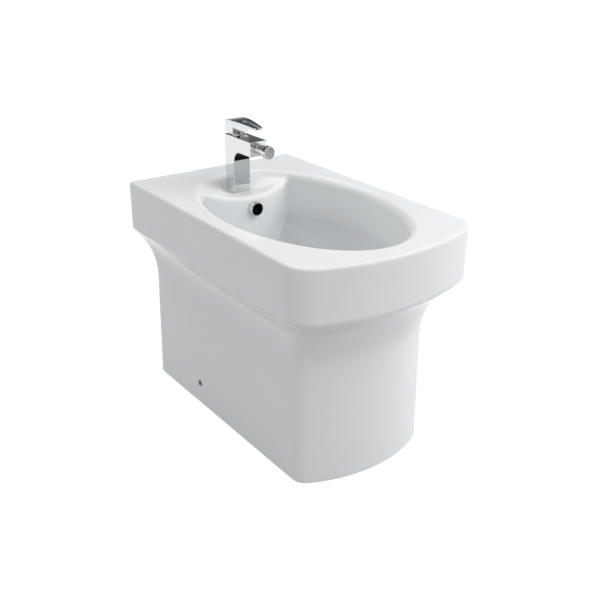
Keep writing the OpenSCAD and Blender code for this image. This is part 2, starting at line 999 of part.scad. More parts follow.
module dome_cap() {
    base_up = cart_depth + 0.1;
    color(chrome)
        at_cartridge()
            difference() {
                intersection() {
                    translate([0, 0, pivot_up])
                        sphere(r = dome_r);
                    translate([0, 0, base_up])
                        cylinder(r = dome_r + 1, h = dome_r);
                }
                translate([0, 0, pivot_up])
                    sphere(r = dome_r - dome_t);
                translate([0, 0, pivot_up])
                    cylinder(d = dome_hole_d, h = dome_r + cut);
            }
}

// Lever: a hub over the dome and a tapering, softly arched blade with a groove
hub_back = cart_y + hub_d / 2 + 1.5;
hub_front = hub_back - hub_d;
hub_low = tap_h + lever_gap - 0.5;
hub_top = hub_low + hub_h;
blade_tip = hub_front - blade_l;
crown_y = -5;
crown_front_r = 560;
crown_back_r = 110;
crown_steps = 14;

function lever_top(y) =
    hub_top + 0.4 - pow(y - crown_y, 2) / (2 * (y < crown_y ? crown_front_r : crown_back_r));

module lever_handle() {
    w = tap_w / 2;
    tip = blade_tip_w / 2;
    top_points = [
        for (i = [0:crown_steps])
            let (y = mix(blade_tip, hub_back, i / crown_steps))
                [y, lever_top(y)]
    ];
    under = [
        [hub_back, hub_low + 0.8],
        [hub_front, hub_low],
        [hub_front, lever_top(hub_front) - blade_root_t],
        [blade_tip, lever_top(blade_tip) - blade_tip_t]
    ];
    groove_end = hub_front - 14;
    groove_floor = lever_top(groove_end) - groove_t;
    color(chrome)
        at_tap()
            difference() {
                intersection() {
                    rotate([90, 0, 90])
                        translate([0, 0, -w])
                            linear_extrude(2 * w)
                                polygon(concat(top_points, under));
                    linear_extrude(hub_top + 20)
                        polygon([
                            [-w, hub_back], [-w, hub_front - 4], [-tip, blade_tip],
                            [tip, blade_tip], [w, hub_front - 4], [w, hub_back]
                        ]);
                }
                // finger groove, open at the tip
                hull() {
                    translate([0, groove_end, groove_floor])
                        cylinder(d = groove_w, h = 10, $fn = 32);
                    translate([0, blade_tip - groove_w, lever_top(blade_tip) - groove_t])
                        cylinder(d = groove_w, h = 10, $fn = 32);
                }
                // room for the dome and the spindle
                translate([0, cart_y, pivot_z])
                    sphere(r = dome_r + 0.7);
                translate([-spindle_s / 2 - fit_gap, cart_y - spindle_s / 2 - fit_gap, pivot_z])
                    cube([spindle_s + 2 * fit_gap, spindle_s + 2 * fit_gap, 22.5]);
                // grub screw and the plug over it
                translate([0, hub_back + cut, grub_z])
                    rotate([90, 0, 0])
                        cylinder(d = grub_d + 2 * fit_gap, h = hub_back - cart_y + cut);
                translate([0, hub_back + cut, grub_z])
                    rotate([90, 0, 0])
                        cylinder(d = index_d + 2 * fit_gap, h = index_t + cut);
            }
}

grub_d = 4;
grub_z = pivot_z + 20;
index_d = 6.5;
index_t = 2.4;

module lever_grub_screw() {
    grub_l = 6;
    color(steel)
        at_tap()
            translate([0, cart_y + spindle_s / 2 + 0.2 + grub_l, grub_z])
                rotate([90, 0, 0])
                    difference() {
                        cylinder(d = grub_d, h = grub_l);
                        translate([0, 0, -cut])
                            cylinder(d = 2.3, h = 2.5 + cut, $fn = 6);
                    }
}

module index_plug() {
    color(black_plastic)
        at_tap()
            translate([0, hub_back - 0.1, grub_z])
                rotate([90, 0, 0])
                    cylinder(d = index_d, h = index_t - 0.3);
}

// Nozzle, drawn along its axis from the ball's centre, outlet upwards
ball_in = 1.6;
seat_r = ball_d / 2 + slack;
sleeve_start = sleeve_gap + ball_in;
socket_seal_t = 1.2;
housing_back = -socket_depth + ball_in + socket_seal_t;

module at_ball() {
    at_tap()
        translate([0, spout_front + ball_in, socket_z])
            rotate([90, 0, 0])
                children();
}

module ball_housing() {
    mouth_d = 2 * sqrt(seat_r * seat_r - pow(ball_in + housing_l, 2)) - 0.7;
    color(chrome)
        at_ball()
            difference() {
                union() {
                    translate([0, 0, housing_back])
                        cylinder(d = socket_d - 2 * fit_gap, h = ball_in + 1 - housing_back);
                    translate([0, 0, ball_in + 0.2])
                        cylinder(d = housing_d, h = housing_l - 0.2);
                }
                // room behind the ball, its seat and the mouth
                translate([0, 0, housing_back - cut])
                    cylinder(r = seat_r, h = cut - housing_back);
                sphere(r = seat_r);
                cylinder(d = mouth_d, h = housing_l + 10);
            }
}

module housing_seal() {
    color(rubber)
        at_ball()
            translate([0, 0, housing_back - socket_seal_t])
                difference() {
                    cylinder(d = socket_d - 0.6, h = socket_seal_t);
                    translate([0, 0, -cut])
                        cylinder(d = 10, h = socket_seal_t + 2 * cut);
                }
}

module nozzle_seat_ring() {
    ring_front = -3.5;
    ring_back = housing_back + 0.5;
    color(white_plastic)
        at_ball()
            difference() {
                translate([0, 0, ring_back])
                    cylinder(r = seat_r - slack, h = ring_front - ring_back);
                sphere(r = seat_r);
                translate([0, 0, ring_back - cut])
                    cylinder(d = 10, h = 20);
            }
}

stem_thread_d = 11;
thread_l = 6;

module nozzle_ball() {
    color(dark_chrome)
        at_ball()
            difference() {
                union() {
                    sphere(d = ball_d);
                    cylinder(d = stem_thread_d, h = sleeve_start + thread_l + 1);
                }
                translate([0, 0, -ball_d])
                    cylinder(d = 7, h = 2 * ball_d + sleeve_start);
            }
}

insert_d = 20;
insert_t = 5;
collar_l = 9.5;

module nozzle_sleeve() {
    tail_r = 9;
    body_r = sleeve_d / 2 - 0.8;
    groove_r = body_r - 0.7;
    neck_end = sleeve_l - collar_l - 1.2;
    insert_seat = sleeve_l - insert_t - 1;
    thread_r = stem_thread_d / 2 + fit_gap;
    socket_r = insert_d / 2 + fit_gap;
    color(chrome)
        at_ball()
            translate([0, 0, sleeve_start])
                rotate_extrude()
                    polygon([
                        [thread_r, 0],
                        [tail_r - 0.8, 0],
                        [tail_r, 0.8],
                        [body_r, neck_end - 0.5],
                        [groove_r, neck_end],
                        [groove_r, neck_end + 1.2],
                        [sleeve_d / 2, neck_end + 1.7],
                        [sleeve_d / 2, sleeve_l - 0.6],
                        [sleeve_d / 2 - 0.6, sleeve_l],
                        [socket_r, sleeve_l],
                        [socket_r, insert_seat],
                        [insert_d / 2 - 2, insert_seat],
                        [stem_thread_d / 2 + 1.5, thread_l],
                        [thread_r, thread_l]
                    ]);
}

module aerator_insert() {
    color(grey_plastic)
        at_ball()
            translate([0, 0, sleeve_start + sleeve_l - insert_t - 1])
                difference() {
                    cylinder(d = insert_d, h = insert_t);
                    translate([0, 0, -cut])
                        cylinder(d = 2.4, h = insert_t + 2 * cut);
                    for (ring = [1:2], i = [0:6 * ring - 1])
                        rotate([0, 0, 360 * i / (6 * ring)])
                            translate([3.4 * ring, 0, -cut])
                                cylinder(d = 2, h = insert_t + 2 * cut, $fn = 16);
                }
}

// Waste, drawn from the seat of its flange in the bowl's floor
seat_z = floor_z - waste_recess;
top_seal_t = 2;
flange_t = 2.2;
waste_bore_d = waste_tube_d - 5;
bar_z = 30 - waste_tube_l;

module at_waste() {
    translate([0, drain_y, seat_z])
        children();
}

module waste_top_seal() {
    color(rubber)
        at_waste()
            difference() {
                cylinder(d = waste_flange_d - 2, h = top_seal_t);
                translate([0, 0, -cut])
                    cylinder(d = waste_tube_d + 2 * slack, h = top_seal_t + 2 * cut);
            }
}

module waste_body() {
    slot_z = channel_z - seat_z - 5;
    color(chrome)
        at_waste()
            difference() {
                union() {
                    translate([0, 0, top_seal_t])
                        cylinder(d = waste_flange_d, h = flange_t);
                    translate([0, 0, top_seal_t - waste_tube_l])
                        cylinder(d = waste_tube_d, h = waste_tube_l);
                }
                difference() {
                    translate([0, 0, -waste_tube_l])
                        cylinder(d = waste_bore_d, h = waste_tube_l + 10);
                    // cross bar that carries the push mechanism
                    translate([-waste_bore_d, -4, bar_z])
                        cube([2 * waste_bore_d, 8, 5]);
                }
                translate([0, 0, bar_z - cut])
                    cylinder(d = 6 + 2 * fit_gap, h = 5 + 2 * cut);
                // overflow slots
                translate([-6, -waste_tube_d, slot_z])
                    cube([12, 2 * waste_tube_d, 10]);
            }
}

cone_t = 7;
waste_nut_t = 10;
boss_under = -waste_boss_t;

module waste_bottom_seal() {
    inner = waste_tube_d / 2 + slack;
    color(rubber)
        at_waste()
            translate([0, 0, boss_under - cone_t])
                rotate_extrude()
                    polygon([
                        [inner, 0],
                        [inner + 10, 0],
                        [inner + 10, cone_t],
                        [inner, cone_t]
                    ]);
}

module waste_nut() {
    color(brass)
        at_waste()
            translate([0, 0, boss_under - cone_t - waste_nut_t])
                difference() {
                    cylinder(d = waste_tube_d + 20, h = waste_nut_t, $fn = 8);
                    translate([0, 0, -cut])
                        cylinder(d = waste_tube_d + 2 * fit_gap, h = waste_nut_t + 2 * cut);
                }
}

click_d = 16;
click_top = -14;
stem_d = 8;
click_floor = bar_z + 7;

module click_body() {
    color(white_plastic)
        at_waste()
            difference() {
                union() {
                    translate([0, 0, bar_z + 5])
                        cylinder(d = click_d, h = click_top - bar_z - 5);
                    translate([0, 0, bar_z - 2])
                        cylinder(d = 6, h = 8);
                }
                translate([0, 0, click_floor])
                    cylinder(d = stem_d + 1.2, h = click_top - click_floor + cut);
            }
}

plug_rise = plug_travel;
plug_under = top_seal_t + flange_t + plug_rise + 2.2;
stem_end = click_floor + 14;

module waste_plug() {
    cap_r = (waste_flange_d - 8) / 2;
    ball_r = 140;
    rim_t = 2.4;
    sag = ball_r - sqrt(ball_r * ball_r - cap_r * cap_r);
    dome = [
        for (i = [0:8])
            let (r = (cap_r - 1) * (1 - i / 8))
                [r, rim_t + sag + sqrt(ball_r * ball_r - r * r) - ball_r]
    ];
    color(chrome)
        at_waste() {
            translate([0, 0, plug_under])
                rotate_extrude()
                    polygon(concat([[0, 0], [cap_r, 0], [cap_r, rim_t - 0.8]], dome));
            translate([0, 0, stem_end])
                cylinder(d = stem_d, h = plug_under - stem_end + 1);
        }
}

module plug_seal() {
    color(rubber)
        at_waste()
            translate([0, 0, plug_under - 2])
                difference() {
                    cylinder(d = waste_flange_d - 14, h = 2);
                    translate([0, 0, -cut])
                        cylinder(d = waste_flange_d - 30, h = 2 + 2 * cut);
                }
}

// Coil spring under the stem: rings of a small round along a helix
spring_turns = 5;
spring_r = 3.2;
spring_wire_d = 1;
spring_sides = 6;
spring_steps = 14;

module plug_spring() {
    low = click_floor + spring_wire_d / 2 + 0.1;
    high = stem_end - spring_wire_d / 2 - 0.1;
    count = spring_turns * spring_steps;
    rings = [
        for (i = [0:count])
            let (
                turn = 360 * i / spring_steps,
                z = mix(low, high, i / count)
            )
            [
                for (j = [0:spring_sides - 1])
                    let (
                        a = 360 * j / spring_sides,
                        r = spring_r + spring_wire_d / 2 * cos(a)
                    )
                        [r * cos(turn), r * sin(turn), z + spring_wire_d / 2 * sin(a)]
            ]
    ];
    color(steel)
        at_waste()
            loft(rings);
}

// Trap under the waste, drawn from the drain's axis and the floor
tube_end = seat_z + top_seal_t - waste_tube_l;
joint_t = 3;
collar_z = tube_end - joint_t - 3;
neck_h = 14;
slip_t = 4;
head_wall = 8;
outlet_z = collar_z - 2.5 - nut_gap - 3 - slip_t - neck_h - head_wall - pipe_d / 2;
cup_thread_l = 14;
cup_top = outlet_z - pipe_d / 2 - 7;
cup_z = cup_top - cup_l;
dip_end = cup_z + 12;
head_d = 60;
head_low = cup_top - cup_thread_l;
head_top = outlet_z + pipe_d / 2 + head_wall;
slip_nut_h = 16;
boss_out = 48;

module at_drain(z) {
    translate([0, drain_y, z])
        children();
}

module ring(outer, inner, h) {
    difference() {
        cylinder(d = outer, h = h);
        translate([0, 0, -cut])
            cylinder(d = inner, h = h + 2 * cut);
    }
}

module trap_inlet_nut() {
    low = collar_z - 2.5;
    color(chrome)
        at_drain(low)
            difference() {
                cylinder(d = waste_tube_d + 10, h = 22, $fn = 8);
                translate([0, 0, -cut])
                    cylinder(d = pipe_d + 1, h = 30);
                translate([0, 0, 2])
                    cylinder(d = waste_tube_d + 2 * fit_gap, h = 30);
            }
}

module trap_inlet_washer() {
    color(rubber)
        at_drain(tube_end - joint_t)
            ring(waste_tube_d - 1, pipe_d - 2 * pipe_t, joint_t);
}

module trap_dip_tube() {
    color(chrome)
        at_drain(dip_end)
            difference() {
                union() {
                    cylinder(d = pipe_d, h = collar_z + 3 - dip_end);
                    translate([0, 0, collar_z - dip_end])
                        cylinder(d = waste_tube_d - 1, h = 3);
                }
                translate([0, 0, -cut])
                    cylinder(d = pipe_d - 2 * pipe_t, h = collar_z + 3 - dip_end + 2 * cut);
            }
}

module trap_head() {
    wall = 3;
    color(chrome)
        at_drain(0)
            difference() {
                union() {
                    translate([0, 0, head_low])
                        cylinder(d = head_d, h = head_top - head_low);
                    translate([0, 0, head_top - 1])
                        cylinder(d = pipe_d + 12, h = neck_h + 1);
                    translate([0, 0, outlet_z])
                        rotate([-90, 0, 0])
                            cylinder(d = pipe_d + 12, h = boss_out);
                }
                translate([0, 0, head_low - cut])
                    cylinder(d = head_d - 2 * wall, h = head_top - wall - head_low + cut);
                translate([0, 0, outlet_z])
                    cylinder(d = pipe_d + 2 * slack, h = 60);
                translate([0, 10, outlet_z])
                    rotate([-90, 0, 0])
                        cylinder(d = pipe_d + 2 * slack, h = boss_out);
            }
}

module slip_nut() {
    difference() {
        cylinder(d = pipe_d + 20, h = slip_nut_h, $fn = 8);
        translate([0, 0, -cut])
            cylinder(d = pipe_d + 12 + 2 * fit_gap, h = slip_nut_h - 3 + cut);
        translate([0, 0, -cut])
            cylinder(d = pipe_d + 1, h = slip_nut_h + 2 * cut);
    }
}

module trap_slip_nut() {
    color(chrome)
        at_drain(head_top + neck_h + slip_t + 3 - slip_nut_h)
            slip_nut();
}

module trap_slip_washer() {
    color(rubber)
        at_drain(head_top + neck_h)
            ring(pipe_d + 11, pipe_d + 2 * slack, slip_t);
}

cup_d = head_d + 7;
cup_step = 3;

module trap_cup() {
    inner = head_d + 2 * fit_gap;
    color(chrome)
        at_drain(cup_z)
            difference() {
                cylinder(d = cup_d, h = cup_l);
                translate([0, 0, 3])
                    cylinder(d = head_d - 8, h = 100);
                translate([0, 0, head_low - cup_z - cup_step])
                    cylinder(d = inner, h = 100);
            }
}

module trap_cup_seal() {
    color(rubber)
        at_drain(head_low - cup_step)
            ring(head_d - 0.6, head_d - 6.4, cup_step);
}

module at_outlet(out) {
    translate([0, drain_y + out, outlet_z])
        rotate([-90, 0, 0])
            children();
}

module trap_outlet_nut() {
    color(chrome)
        at_outlet(boss_out + slip_t + 3 - slip_nut_h)
            slip_nut();
}

module trap_outlet_washer() {
    color(rubber)
        at_outlet(boss_out)
            ring(pipe_d + 11, pipe_d + 2 * slack, slip_t);
}

spigot_l = 40;
bead_t = 3;

module trap_outlet_pipe() {
    start = head_d / 2 + 4;
    end = rear_y - 4 - drain_y;
    color(chrome)
        at_outlet(start)
            difference() {
                union() {
                    cylinder(d = pipe_d, h = end - start);
                    // rolled bead that stops the pipe in the wall's socket
                    translate([0, 0, end - start - spigot_l - bead_t])
                        cylinder(d = pipe_d + 3, h = bead_t);
                }
                translate([0, 0, -cut])
                    cylinder(d = pipe_d - 2 * pipe_t, h = end - start + 2 * cut);
            }
}

china_body();
overflow_ring();
side_screws();
side_sleeves();
floor_bracket_left();
floor_bracket_right();
floor_bolts();
floor_washers();
tap_body();
base_gasket();
mounting_stud();
horseshoe_rubber();
horseshoe_plate();
mounting_nut();
cartridge_seal();
cartridge_base();
cartridge_housing();
fixed_disc();
moving_disc();
disc_carrier();
spindle_guide();
spindle();
spindle_pin();
cartridge_nut();
dome_cap();
lever_handle();
lever_grub_screw();
index_plug();
ball_housing();
housing_seal();
nozzle_seat_ring();
nozzle_ball();
nozzle_sleeve();
aerator_insert();
waste_body();
waste_top_seal();
waste_bottom_seal();
waste_nut();
click_body();
plug_spring();
waste_plug();
plug_seal();
trap_inlet_nut();
trap_inlet_washer();
trap_dip_tube();
trap_slip_nut();
trap_slip_washer();
trap_head();
trap_cup();
trap_cup_seal();
trap_outlet_nut();
trap_outlet_washer();
trap_outlet_pipe();
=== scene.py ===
"""Floor standing bidet: glazed china bowl, chromed tap and nozzle, push waste and trap.

Sizes are in millimetres until a mesh is made; the scene is in metres. The bidet
stands on z = 0, its front faces -Y and the wall is at +Y.
"""

import json
import math

import bmesh
import bpy
import numpy as np
from mathutils import Matrix, Vector


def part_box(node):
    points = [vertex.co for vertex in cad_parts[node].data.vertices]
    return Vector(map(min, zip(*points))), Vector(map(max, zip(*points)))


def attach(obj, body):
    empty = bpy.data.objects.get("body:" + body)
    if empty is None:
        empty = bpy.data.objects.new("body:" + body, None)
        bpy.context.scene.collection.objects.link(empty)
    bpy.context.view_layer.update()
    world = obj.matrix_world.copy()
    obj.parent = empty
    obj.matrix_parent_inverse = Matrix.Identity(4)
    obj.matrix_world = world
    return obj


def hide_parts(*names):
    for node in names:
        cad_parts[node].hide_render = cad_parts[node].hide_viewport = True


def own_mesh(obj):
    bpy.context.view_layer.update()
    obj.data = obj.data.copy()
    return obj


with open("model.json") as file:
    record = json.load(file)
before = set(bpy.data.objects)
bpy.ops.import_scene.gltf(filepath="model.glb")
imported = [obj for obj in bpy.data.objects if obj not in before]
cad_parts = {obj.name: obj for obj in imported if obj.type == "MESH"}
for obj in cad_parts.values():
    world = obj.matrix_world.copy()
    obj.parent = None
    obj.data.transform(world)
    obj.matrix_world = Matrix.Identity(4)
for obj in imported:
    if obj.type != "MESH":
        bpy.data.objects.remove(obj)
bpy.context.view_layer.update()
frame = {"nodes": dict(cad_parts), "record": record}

MM = 0.001

# ---------------------------------------------------------------- sizes

RIM_HEIGHT = 415.0
HALF_WIDTH = 180.0
HALF_LENGTH = 282.5
TAP_Y = 190.75
DRAIN_Y = 40.0
OVERFLOW_HEIGHT = 370.0
CHANNEL_Y = 151.0

# the washing room: an oval bowl, with the tap deck across its rear
BOWL_A, BOWL_B, BOWL_Y = 142.0, 229.0, -6.0
FLOOR_Z = RIM_HEIGHT - 147.0
DECK_HEIGHT = 389.0
DECK_FRONT, DECK_BOW_R, DECK_EDGE_R = 134.0, 171.0, 9.0


# ---------------------------------------------------------------- materials


def linear(code):
    """An sRGB hex colour as linear RGBA."""
    parts = [int(code[i : i + 2], 16) / 255 for i in (1, 3, 5)]
    plain = [p / 12.92 if p <= 0.04045 else ((p + 0.055) / 1.055) ** 2.4 for p in parts]
    return (*plain, 1.0)


def add(tree, kind, settings=None, **links):
    """One node with its settings, its plain socket values and its links.

    A socket goes by its name, or by its number where nodes repeat a name.
    """
    node = tree.nodes.new(kind)
    for name, value in (settings or {}).items():
        if isinstance(name, int) or name in node.inputs:
            node.inputs[name].default_value = value
        else:
            setattr(node, name, value)
    for name, source in links.items():
        key = int(name[5:]) if name.startswith("input") else name.replace("_", " ")
        tree.links.new(source, node.inputs[key])
    return node


def start_material(name):
    """A bare material, its tree and the piece's own coordinates."""
    material = bpy.data.materials.new(name)
    material.use_nodes = True
    tree = material.node_tree
    tree.nodes.clear()
    return material, tree, add(tree, "ShaderNodeTexCoord").outputs["Object"]


def end_material(material, settings, **links):
    """Gives the material its shader and its output."""
    tree = material.node_tree
    shader = add(tree, "ShaderNodeBsdfPrincipled", settings, **links)
    add(tree, "ShaderNodeOutputMaterial", Surface=shader.outputs["BSDF"])
    material.diffuse_color = settings["Base Color"]
    return material


def glazed_china():
    # Vitreous china under a fired tin-white glaze: deep gloss with a faint roll in the
    # reflections. Inside the bowl the colour is greyer: painted shade, added to the lamps' own
    # shade.
    material, tree, place = start_material("glazed vitreous china")
    height = add(tree, "ShaderNodeSeparateXYZ", Vector=place).outputs["Z"]
    # distance from the bowl's middle, 1 at the oval mouth's edge
    oval = add(
        tree,
        "ShaderNodeVectorMath",
        {
            "operation": "MULTIPLY_ADD",
            1: (1 / (BOWL_A * MM), 1 / (BOWL_B * MM), 0),
            2: (0, -BOWL_Y / BOWL_B, 0),
        },
        input0=place,
    )
    out = add(tree, "ShaderNodeVectorMath", {"operation": "LENGTH"}, input0=oval.outputs[0])
    # distance from the middle of the bow in the deck's front wall, seen from above
    plan = {"operation": "MULTIPLY", 1: (1, 1, 0)}
    flat = add(tree, "ShaderNodeVectorMath", plan, input0=place)
    off_bow = add(
        tree,
        "ShaderNodeVectorMath",
        {"operation": "DISTANCE", 1: (0, (DECK_FRONT + DECK_BOW_R) * MM, 0)},
        input0=flat.outputs[0],
    )
    # painted shade: inside the mouth, under the lip, above the floor, in front of the deck
    painted_bowl_shade = None
    for source, none_at, full_at in (
        (out.outputs["Value"], 1.0, 0.9),
        (height, (RIM_HEIGHT - 7.0) * MM, (RIM_HEIGHT - 45.0) * MM),
        (height, (FLOOR_Z - 12.0) * MM, (FLOOR_Z - 4.0) * MM),
        (off_bow.outputs["Value"], (DECK_BOW_R + 1.0) * MM, (DECK_BOW_R + 5.0) * MM),
    ):
        edge = {"From Min": none_at, "From Max": full_at}
        mask = add(tree, "ShaderNodeMapRange", edge, Value=source).outputs["Result"]
        if painted_bowl_shade is not None:
            product = {"operation": "MULTIPLY"}
            mask = add(tree, "ShaderNodeMath", product, input0=painted_bowl_shade, input1=mask).outputs[0]
        painted_bowl_shade = mask
    # the tone drifts over about 110 mm, the gloss over 25 mm, the skin rolls over 18 mm
    drift = add(tree, "ShaderNodeTexNoise", {"Scale": 9.0, "Detail": 2.0}, Vector=place)
    # the darker tone shows where the random drift and the painted bowl shade add up
    drift_and_bowl_shade = add(
        tree,
        "ShaderNodeMath",
        {"operation": "MULTIPLY_ADD", 1: 0.2},
        input0=drift.outputs["Fac"],
        input2=painted_bowl_shade,
    )
    tone = add(
        tree,
        "ShaderNodeMix",
        {"data_type": "RGBA", 6: linear("#E9EBEC"), 7: linear("#CCCED0")},
        input0=drift_and_bowl_shade.outputs[0],
    )
    sheen = add(tree, "ShaderNodeTexNoise", {"Scale": 40.0, "Detail": 3.0}, Vector=place)
    gloss = add(
        tree, "ShaderNodeMapRange", {"To Min": 0.05, "To Max": 0.11}, Value=sheen.outputs["Fac"]
    )
    roll = add(tree, "ShaderNodeTexNoise", {"Scale": 55.0, "Detail": 1.0}, Vector=place)
    relief = {"Strength": 0.05, "Distance": 0.0004}
    bump = add(tree, "ShaderNodeBump", relief, Height=roll.outputs["Fac"])
    return end_material(
        material,
        {"Base Color": linear("#E4E6E8"), "IOR": 1.52, "Specular IOR Level": 0.32},
        Base_Color=tone.outputs[2],
        Roughness=gloss.outputs["Result"],
        Normal=bump.outputs["Normal"],
    )


def plated(name, tint, smear, low, high):
    """Plating of one colour, whose gloss drifts between two values."""
    material, tree, place = start_material(name)
    pattern = add(tree, "ShaderNodeTexNoise", smear, Vector=place).outputs["Fac"]
    gloss = add(tree, "ShaderNodeMapRange", {"To Min": low, "To Max": high}, Value=pattern)
    return end_material(
        material,
        {"Base Color": linear(tint), "Metallic": 1.0},
        Roughness=gloss.outputs["Result"],
    )


def chrome(name="polished chrome plate", tint="#E4E6E7"):
    # Bright nickel and chrome over polished brass: mirror clear, with the faintest
    # smear of handling in its gloss, 17 mm across.
    return plated(name, tint, {"Scale": 60.0, "Detail": 4.0}, 0.03, 0.08)


def painted_arch_shade():
    # Painted shade on the plating inside the arch: dark, satin and slightly rough, with
    # a grain of 3 mm.
    return plated("dark chrome, painted arch shade", "#1B1C1E", {"Scale": 300.0, "Detail": 3.0}, 0.3, 0.45)


def mottled(name, low, high, cloud, rough, relief, bump, settings):
    """A finish whose tone and gloss drift with one cloud pattern, over a fine relief."""
    material, tree, place = start_material(name)
    drift = add(tree, "ShaderNodeTexNoise", cloud, Vector=place).outputs["Fac"]
    tones = {"data_type": "RGBA", 6: linear(low), 7: linear(high)}
    height = add(tree, relief[0], relief[1], Vector=place).outputs["Fac"]
    links = {
        "Base_Color": add(tree, "ShaderNodeMix", tones, input0=drift).outputs[2],
        "Normal": add(tree, "ShaderNodeBump", bump, Height=height).outputs["Normal"],
    }
    if rough:
        gloss = add(
            tree, "ShaderNodeMapRange", {"To Min": rough[0], "To Max": rough[1]}, Value=drift
        )
        links["Roughness"] = gloss.outputs["Result"]
    return end_material(material, {"Base Color": linear(low), **settings}, **links)


def bare_clay(name, low, high):
    # Fired clay without glaze, inside the pedestal: matt and gritty. Near black, it is
    # the painted shade in the overflow's bores.
    # Clay grit is 0.3 mm across; it is drawn at 1.2 mm so that it shows.
    return mottled(
        name,
        low,
        high,
        {"Scale": 22.0, "Detail": 5.0},
        None,
        ("ShaderNodeTexNoise", {"Scale": 800.0, "Detail": 2.0}),
        {"Strength": 0.4, "Distance": 0.0004},
        {"Roughness": 0.85, "IOR": 1.45},
    )


def turned_metal(name, low, high, rough):
    # Metal as it leaves the lathe or the plating tank: rings of tool marks up the height
    # of the piece. Real ones are 0.2 mm apart; they are drawn at 0.8 mm so that they show.
    marks = {"bands_direction": "Z", "Scale": 380.0, "Distortion": 1.5, "Detail": 1.0}
    return mottled(
        name,
        low,
        high,
        {"Scale": 120.0, "Detail": 4.0},
        (rough - 0.08, rough + 0.1),
        ("ShaderNodeTexWave", marks),
        {"Strength": 0.15, "Distance": 0.00005},
        {"Metallic": 1.0},
    )


def moulded(name, low, high, rough, grain=900.0, depth=0.00003):
    # Moulded plastic or rubber with a fine spark-eroded grain in its skin. Real grain is
    # 0.1 mm across; it is drawn at about 1 mm so that it shows.
    return mottled(
        name,
        low,
        high,
        {"Scale": 90.0, "Detail": 3.0},
        (rough - 0.05, rough + 0.08),
        ("ShaderNodeTexNoise", {"Scale": grain, "Detail": 1.0}),
        {"Strength": 0.3, "Distance": depth},
        {"IOR": 1.5},
    )


FINISH = {
    "china": glazed_china(),
    "chrome": chrome(),
    "zinc_steel": turned_metal("zinc plated steel", "#A8ABB0", "#BFC1C6", 0.34),
    "spring_steel": turned_metal("drawn spring steel", "#8E9094", "#A3A5A8", 0.3),
    "plain_brass": turned_metal("machined brass", "#BFA05A", "#CDB06C", 0.28),
    "black_rubber": moulded("EPDM rubber", "#1D1D1F", "#29292B", 0.62, 700.0, 0.00008),
    "white_plastic": moulded("white acetal", "#DFE1DF", "#E7E8E6", 0.36),
    "grey_plastic": moulded("grey acetal", "#B4B7B9", "#C0C3C5", 0.36),
    "black_plastic": moulded("black ABS", "#1F2022", "#2A2B2D", 0.42),
    "oxide_ceramic": moulded("lapped alumina", "#EFEBDF", "#F5F2E8", 0.16, 1500.0, 0.00001),
}
# painted shade for the hollow under the spout's arch
ARCH_SHADE_PLATE = painted_arch_shade()
DARKENED_SCREW_PLATE = chrome("darkened chrome plate", "#5E6062")
INSIDE_CLAY = bare_clay("unglazed clay", "#CFC9BD", "#DDD8CE")
# near black in the overflow's bores: painted shade of the deep channel
OVERFLOW_BORE_SHADE = bare_clay("overflow clay, painted shade", "#1A1A1A", "#26241F")

SLOT_OF = {s["node"]: s["material_slot"] for s in frame["record"]["subparts"]}
BODY_OF = {n: b for b, ns in frame["record"]["behaviour"]["bodies"].items() for n in ns}
for node, finish in SLOT_OF.items():
    for slot in frame["nodes"][node].material_slots:
        slot.material = FINISH[finish]


# ---------------------------------------------------------------- making pieces


def in_scene(name, data):
    """A new object that shows the data."""
    shown = bpy.data.objects.new(name, data)
    bpy.context.scene.collection.objects.link(shown)
    return shown


def mesh_piece(name, points, faces, *materials):
    """An object at the origin from points in millimetres."""
    mesh = bpy.data.meshes.new(name)
    mesh.from_pydata([tuple(c * MM for c in p) for p in points], [], faces)
    mesh.update()
    for material in materials:
        mesh.materials.append(material)
    return in_scene(name, mesh)


def clean(piece):
    """Joins doubled points and turns every face outwards."""
    work = bmesh.new()
    work.from_mesh(piece.data)
    bmesh.ops.remove_doubles(work, verts=work.verts, dist=1e-6)
    bmesh.ops.dissolve_degenerate(work, edges=work.edges, dist=1e-7)
    bmesh.ops.recalc_face_normals(work, faces=work.faces)
    work.to_mesh(piece.data)
    work.free()


def baked(piece):
    """The piece's modifiers made part of its mesh."""
    bpy.context.view_layer.update()
    deps = bpy.context.evaluated_depsgraph_get()
    mesh = bpy.data.meshes.new_from_object(
        piece.evaluated_get(deps), preserve_all_data_layers=True, depsgraph=deps
    )
    piece.modifiers.clear()
    old = piece.data
    piece.data = mesh
    bpy.data.meshes.remove(old)


def shaded(piece, sharp=32.0):
    """Smooth shading that keeps flats flat beside rounded edges."""
    piece.data.shade_smooth()
    piece.data.set_sharp_from_angle(angle=math.radians(sharp))
    even = piece.modifiers.new("even", "WEIGHTED_NORMAL")
    even.keep_sharp = True
    even.weight = 80
    baked(piece)


def edges_eased(piece, width, segments=3, angle=38.0):
    """Rounds the piece's edges as casting and polishing leave them."""
    bevel = piece.modifiers.new("eased edges", "BEVEL")
    bevel.width = width * MM
    bevel.segments = segments
    bevel.limit_method = "ANGLE"
    bevel.angle_limit = math.radians(angle)
    bevel.miter_outer = "MITER_ARC"
    bevel.use_clamp_overlap = True
    baked(piece)


def carved(piece, *cutters):
    """Takes the cutters' shapes out of the piece; the cuts get its own finish."""
    for cutter in cutters:
        cut = piece.modifiers.new("cut", "BOOLEAN")
        cut.object = cutter
        cut.operation = "DIFFERENCE"
        cut.solver = "EXACT"
        baked(piece)
        bpy.data.objects.remove(cutter)
    materials = piece.data.materials
    for slot in range(1, len(materials)):
        materials[slot] = materials[0]


def stand_for(piece, node):
    """The piece takes the place and body of its CAD node, which is hidden."""
    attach(piece, BODY_OF[node])
    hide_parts(node)


def arc(radius, first, last, steps):
    """Unrounded outline points on an arc about the origin."""
    angles = [first + (last - first) * i / steps for i in range(steps + 1)]
    return [(radius * math.cos(a), radius * math.sin(a), 0.0) for a in angles]


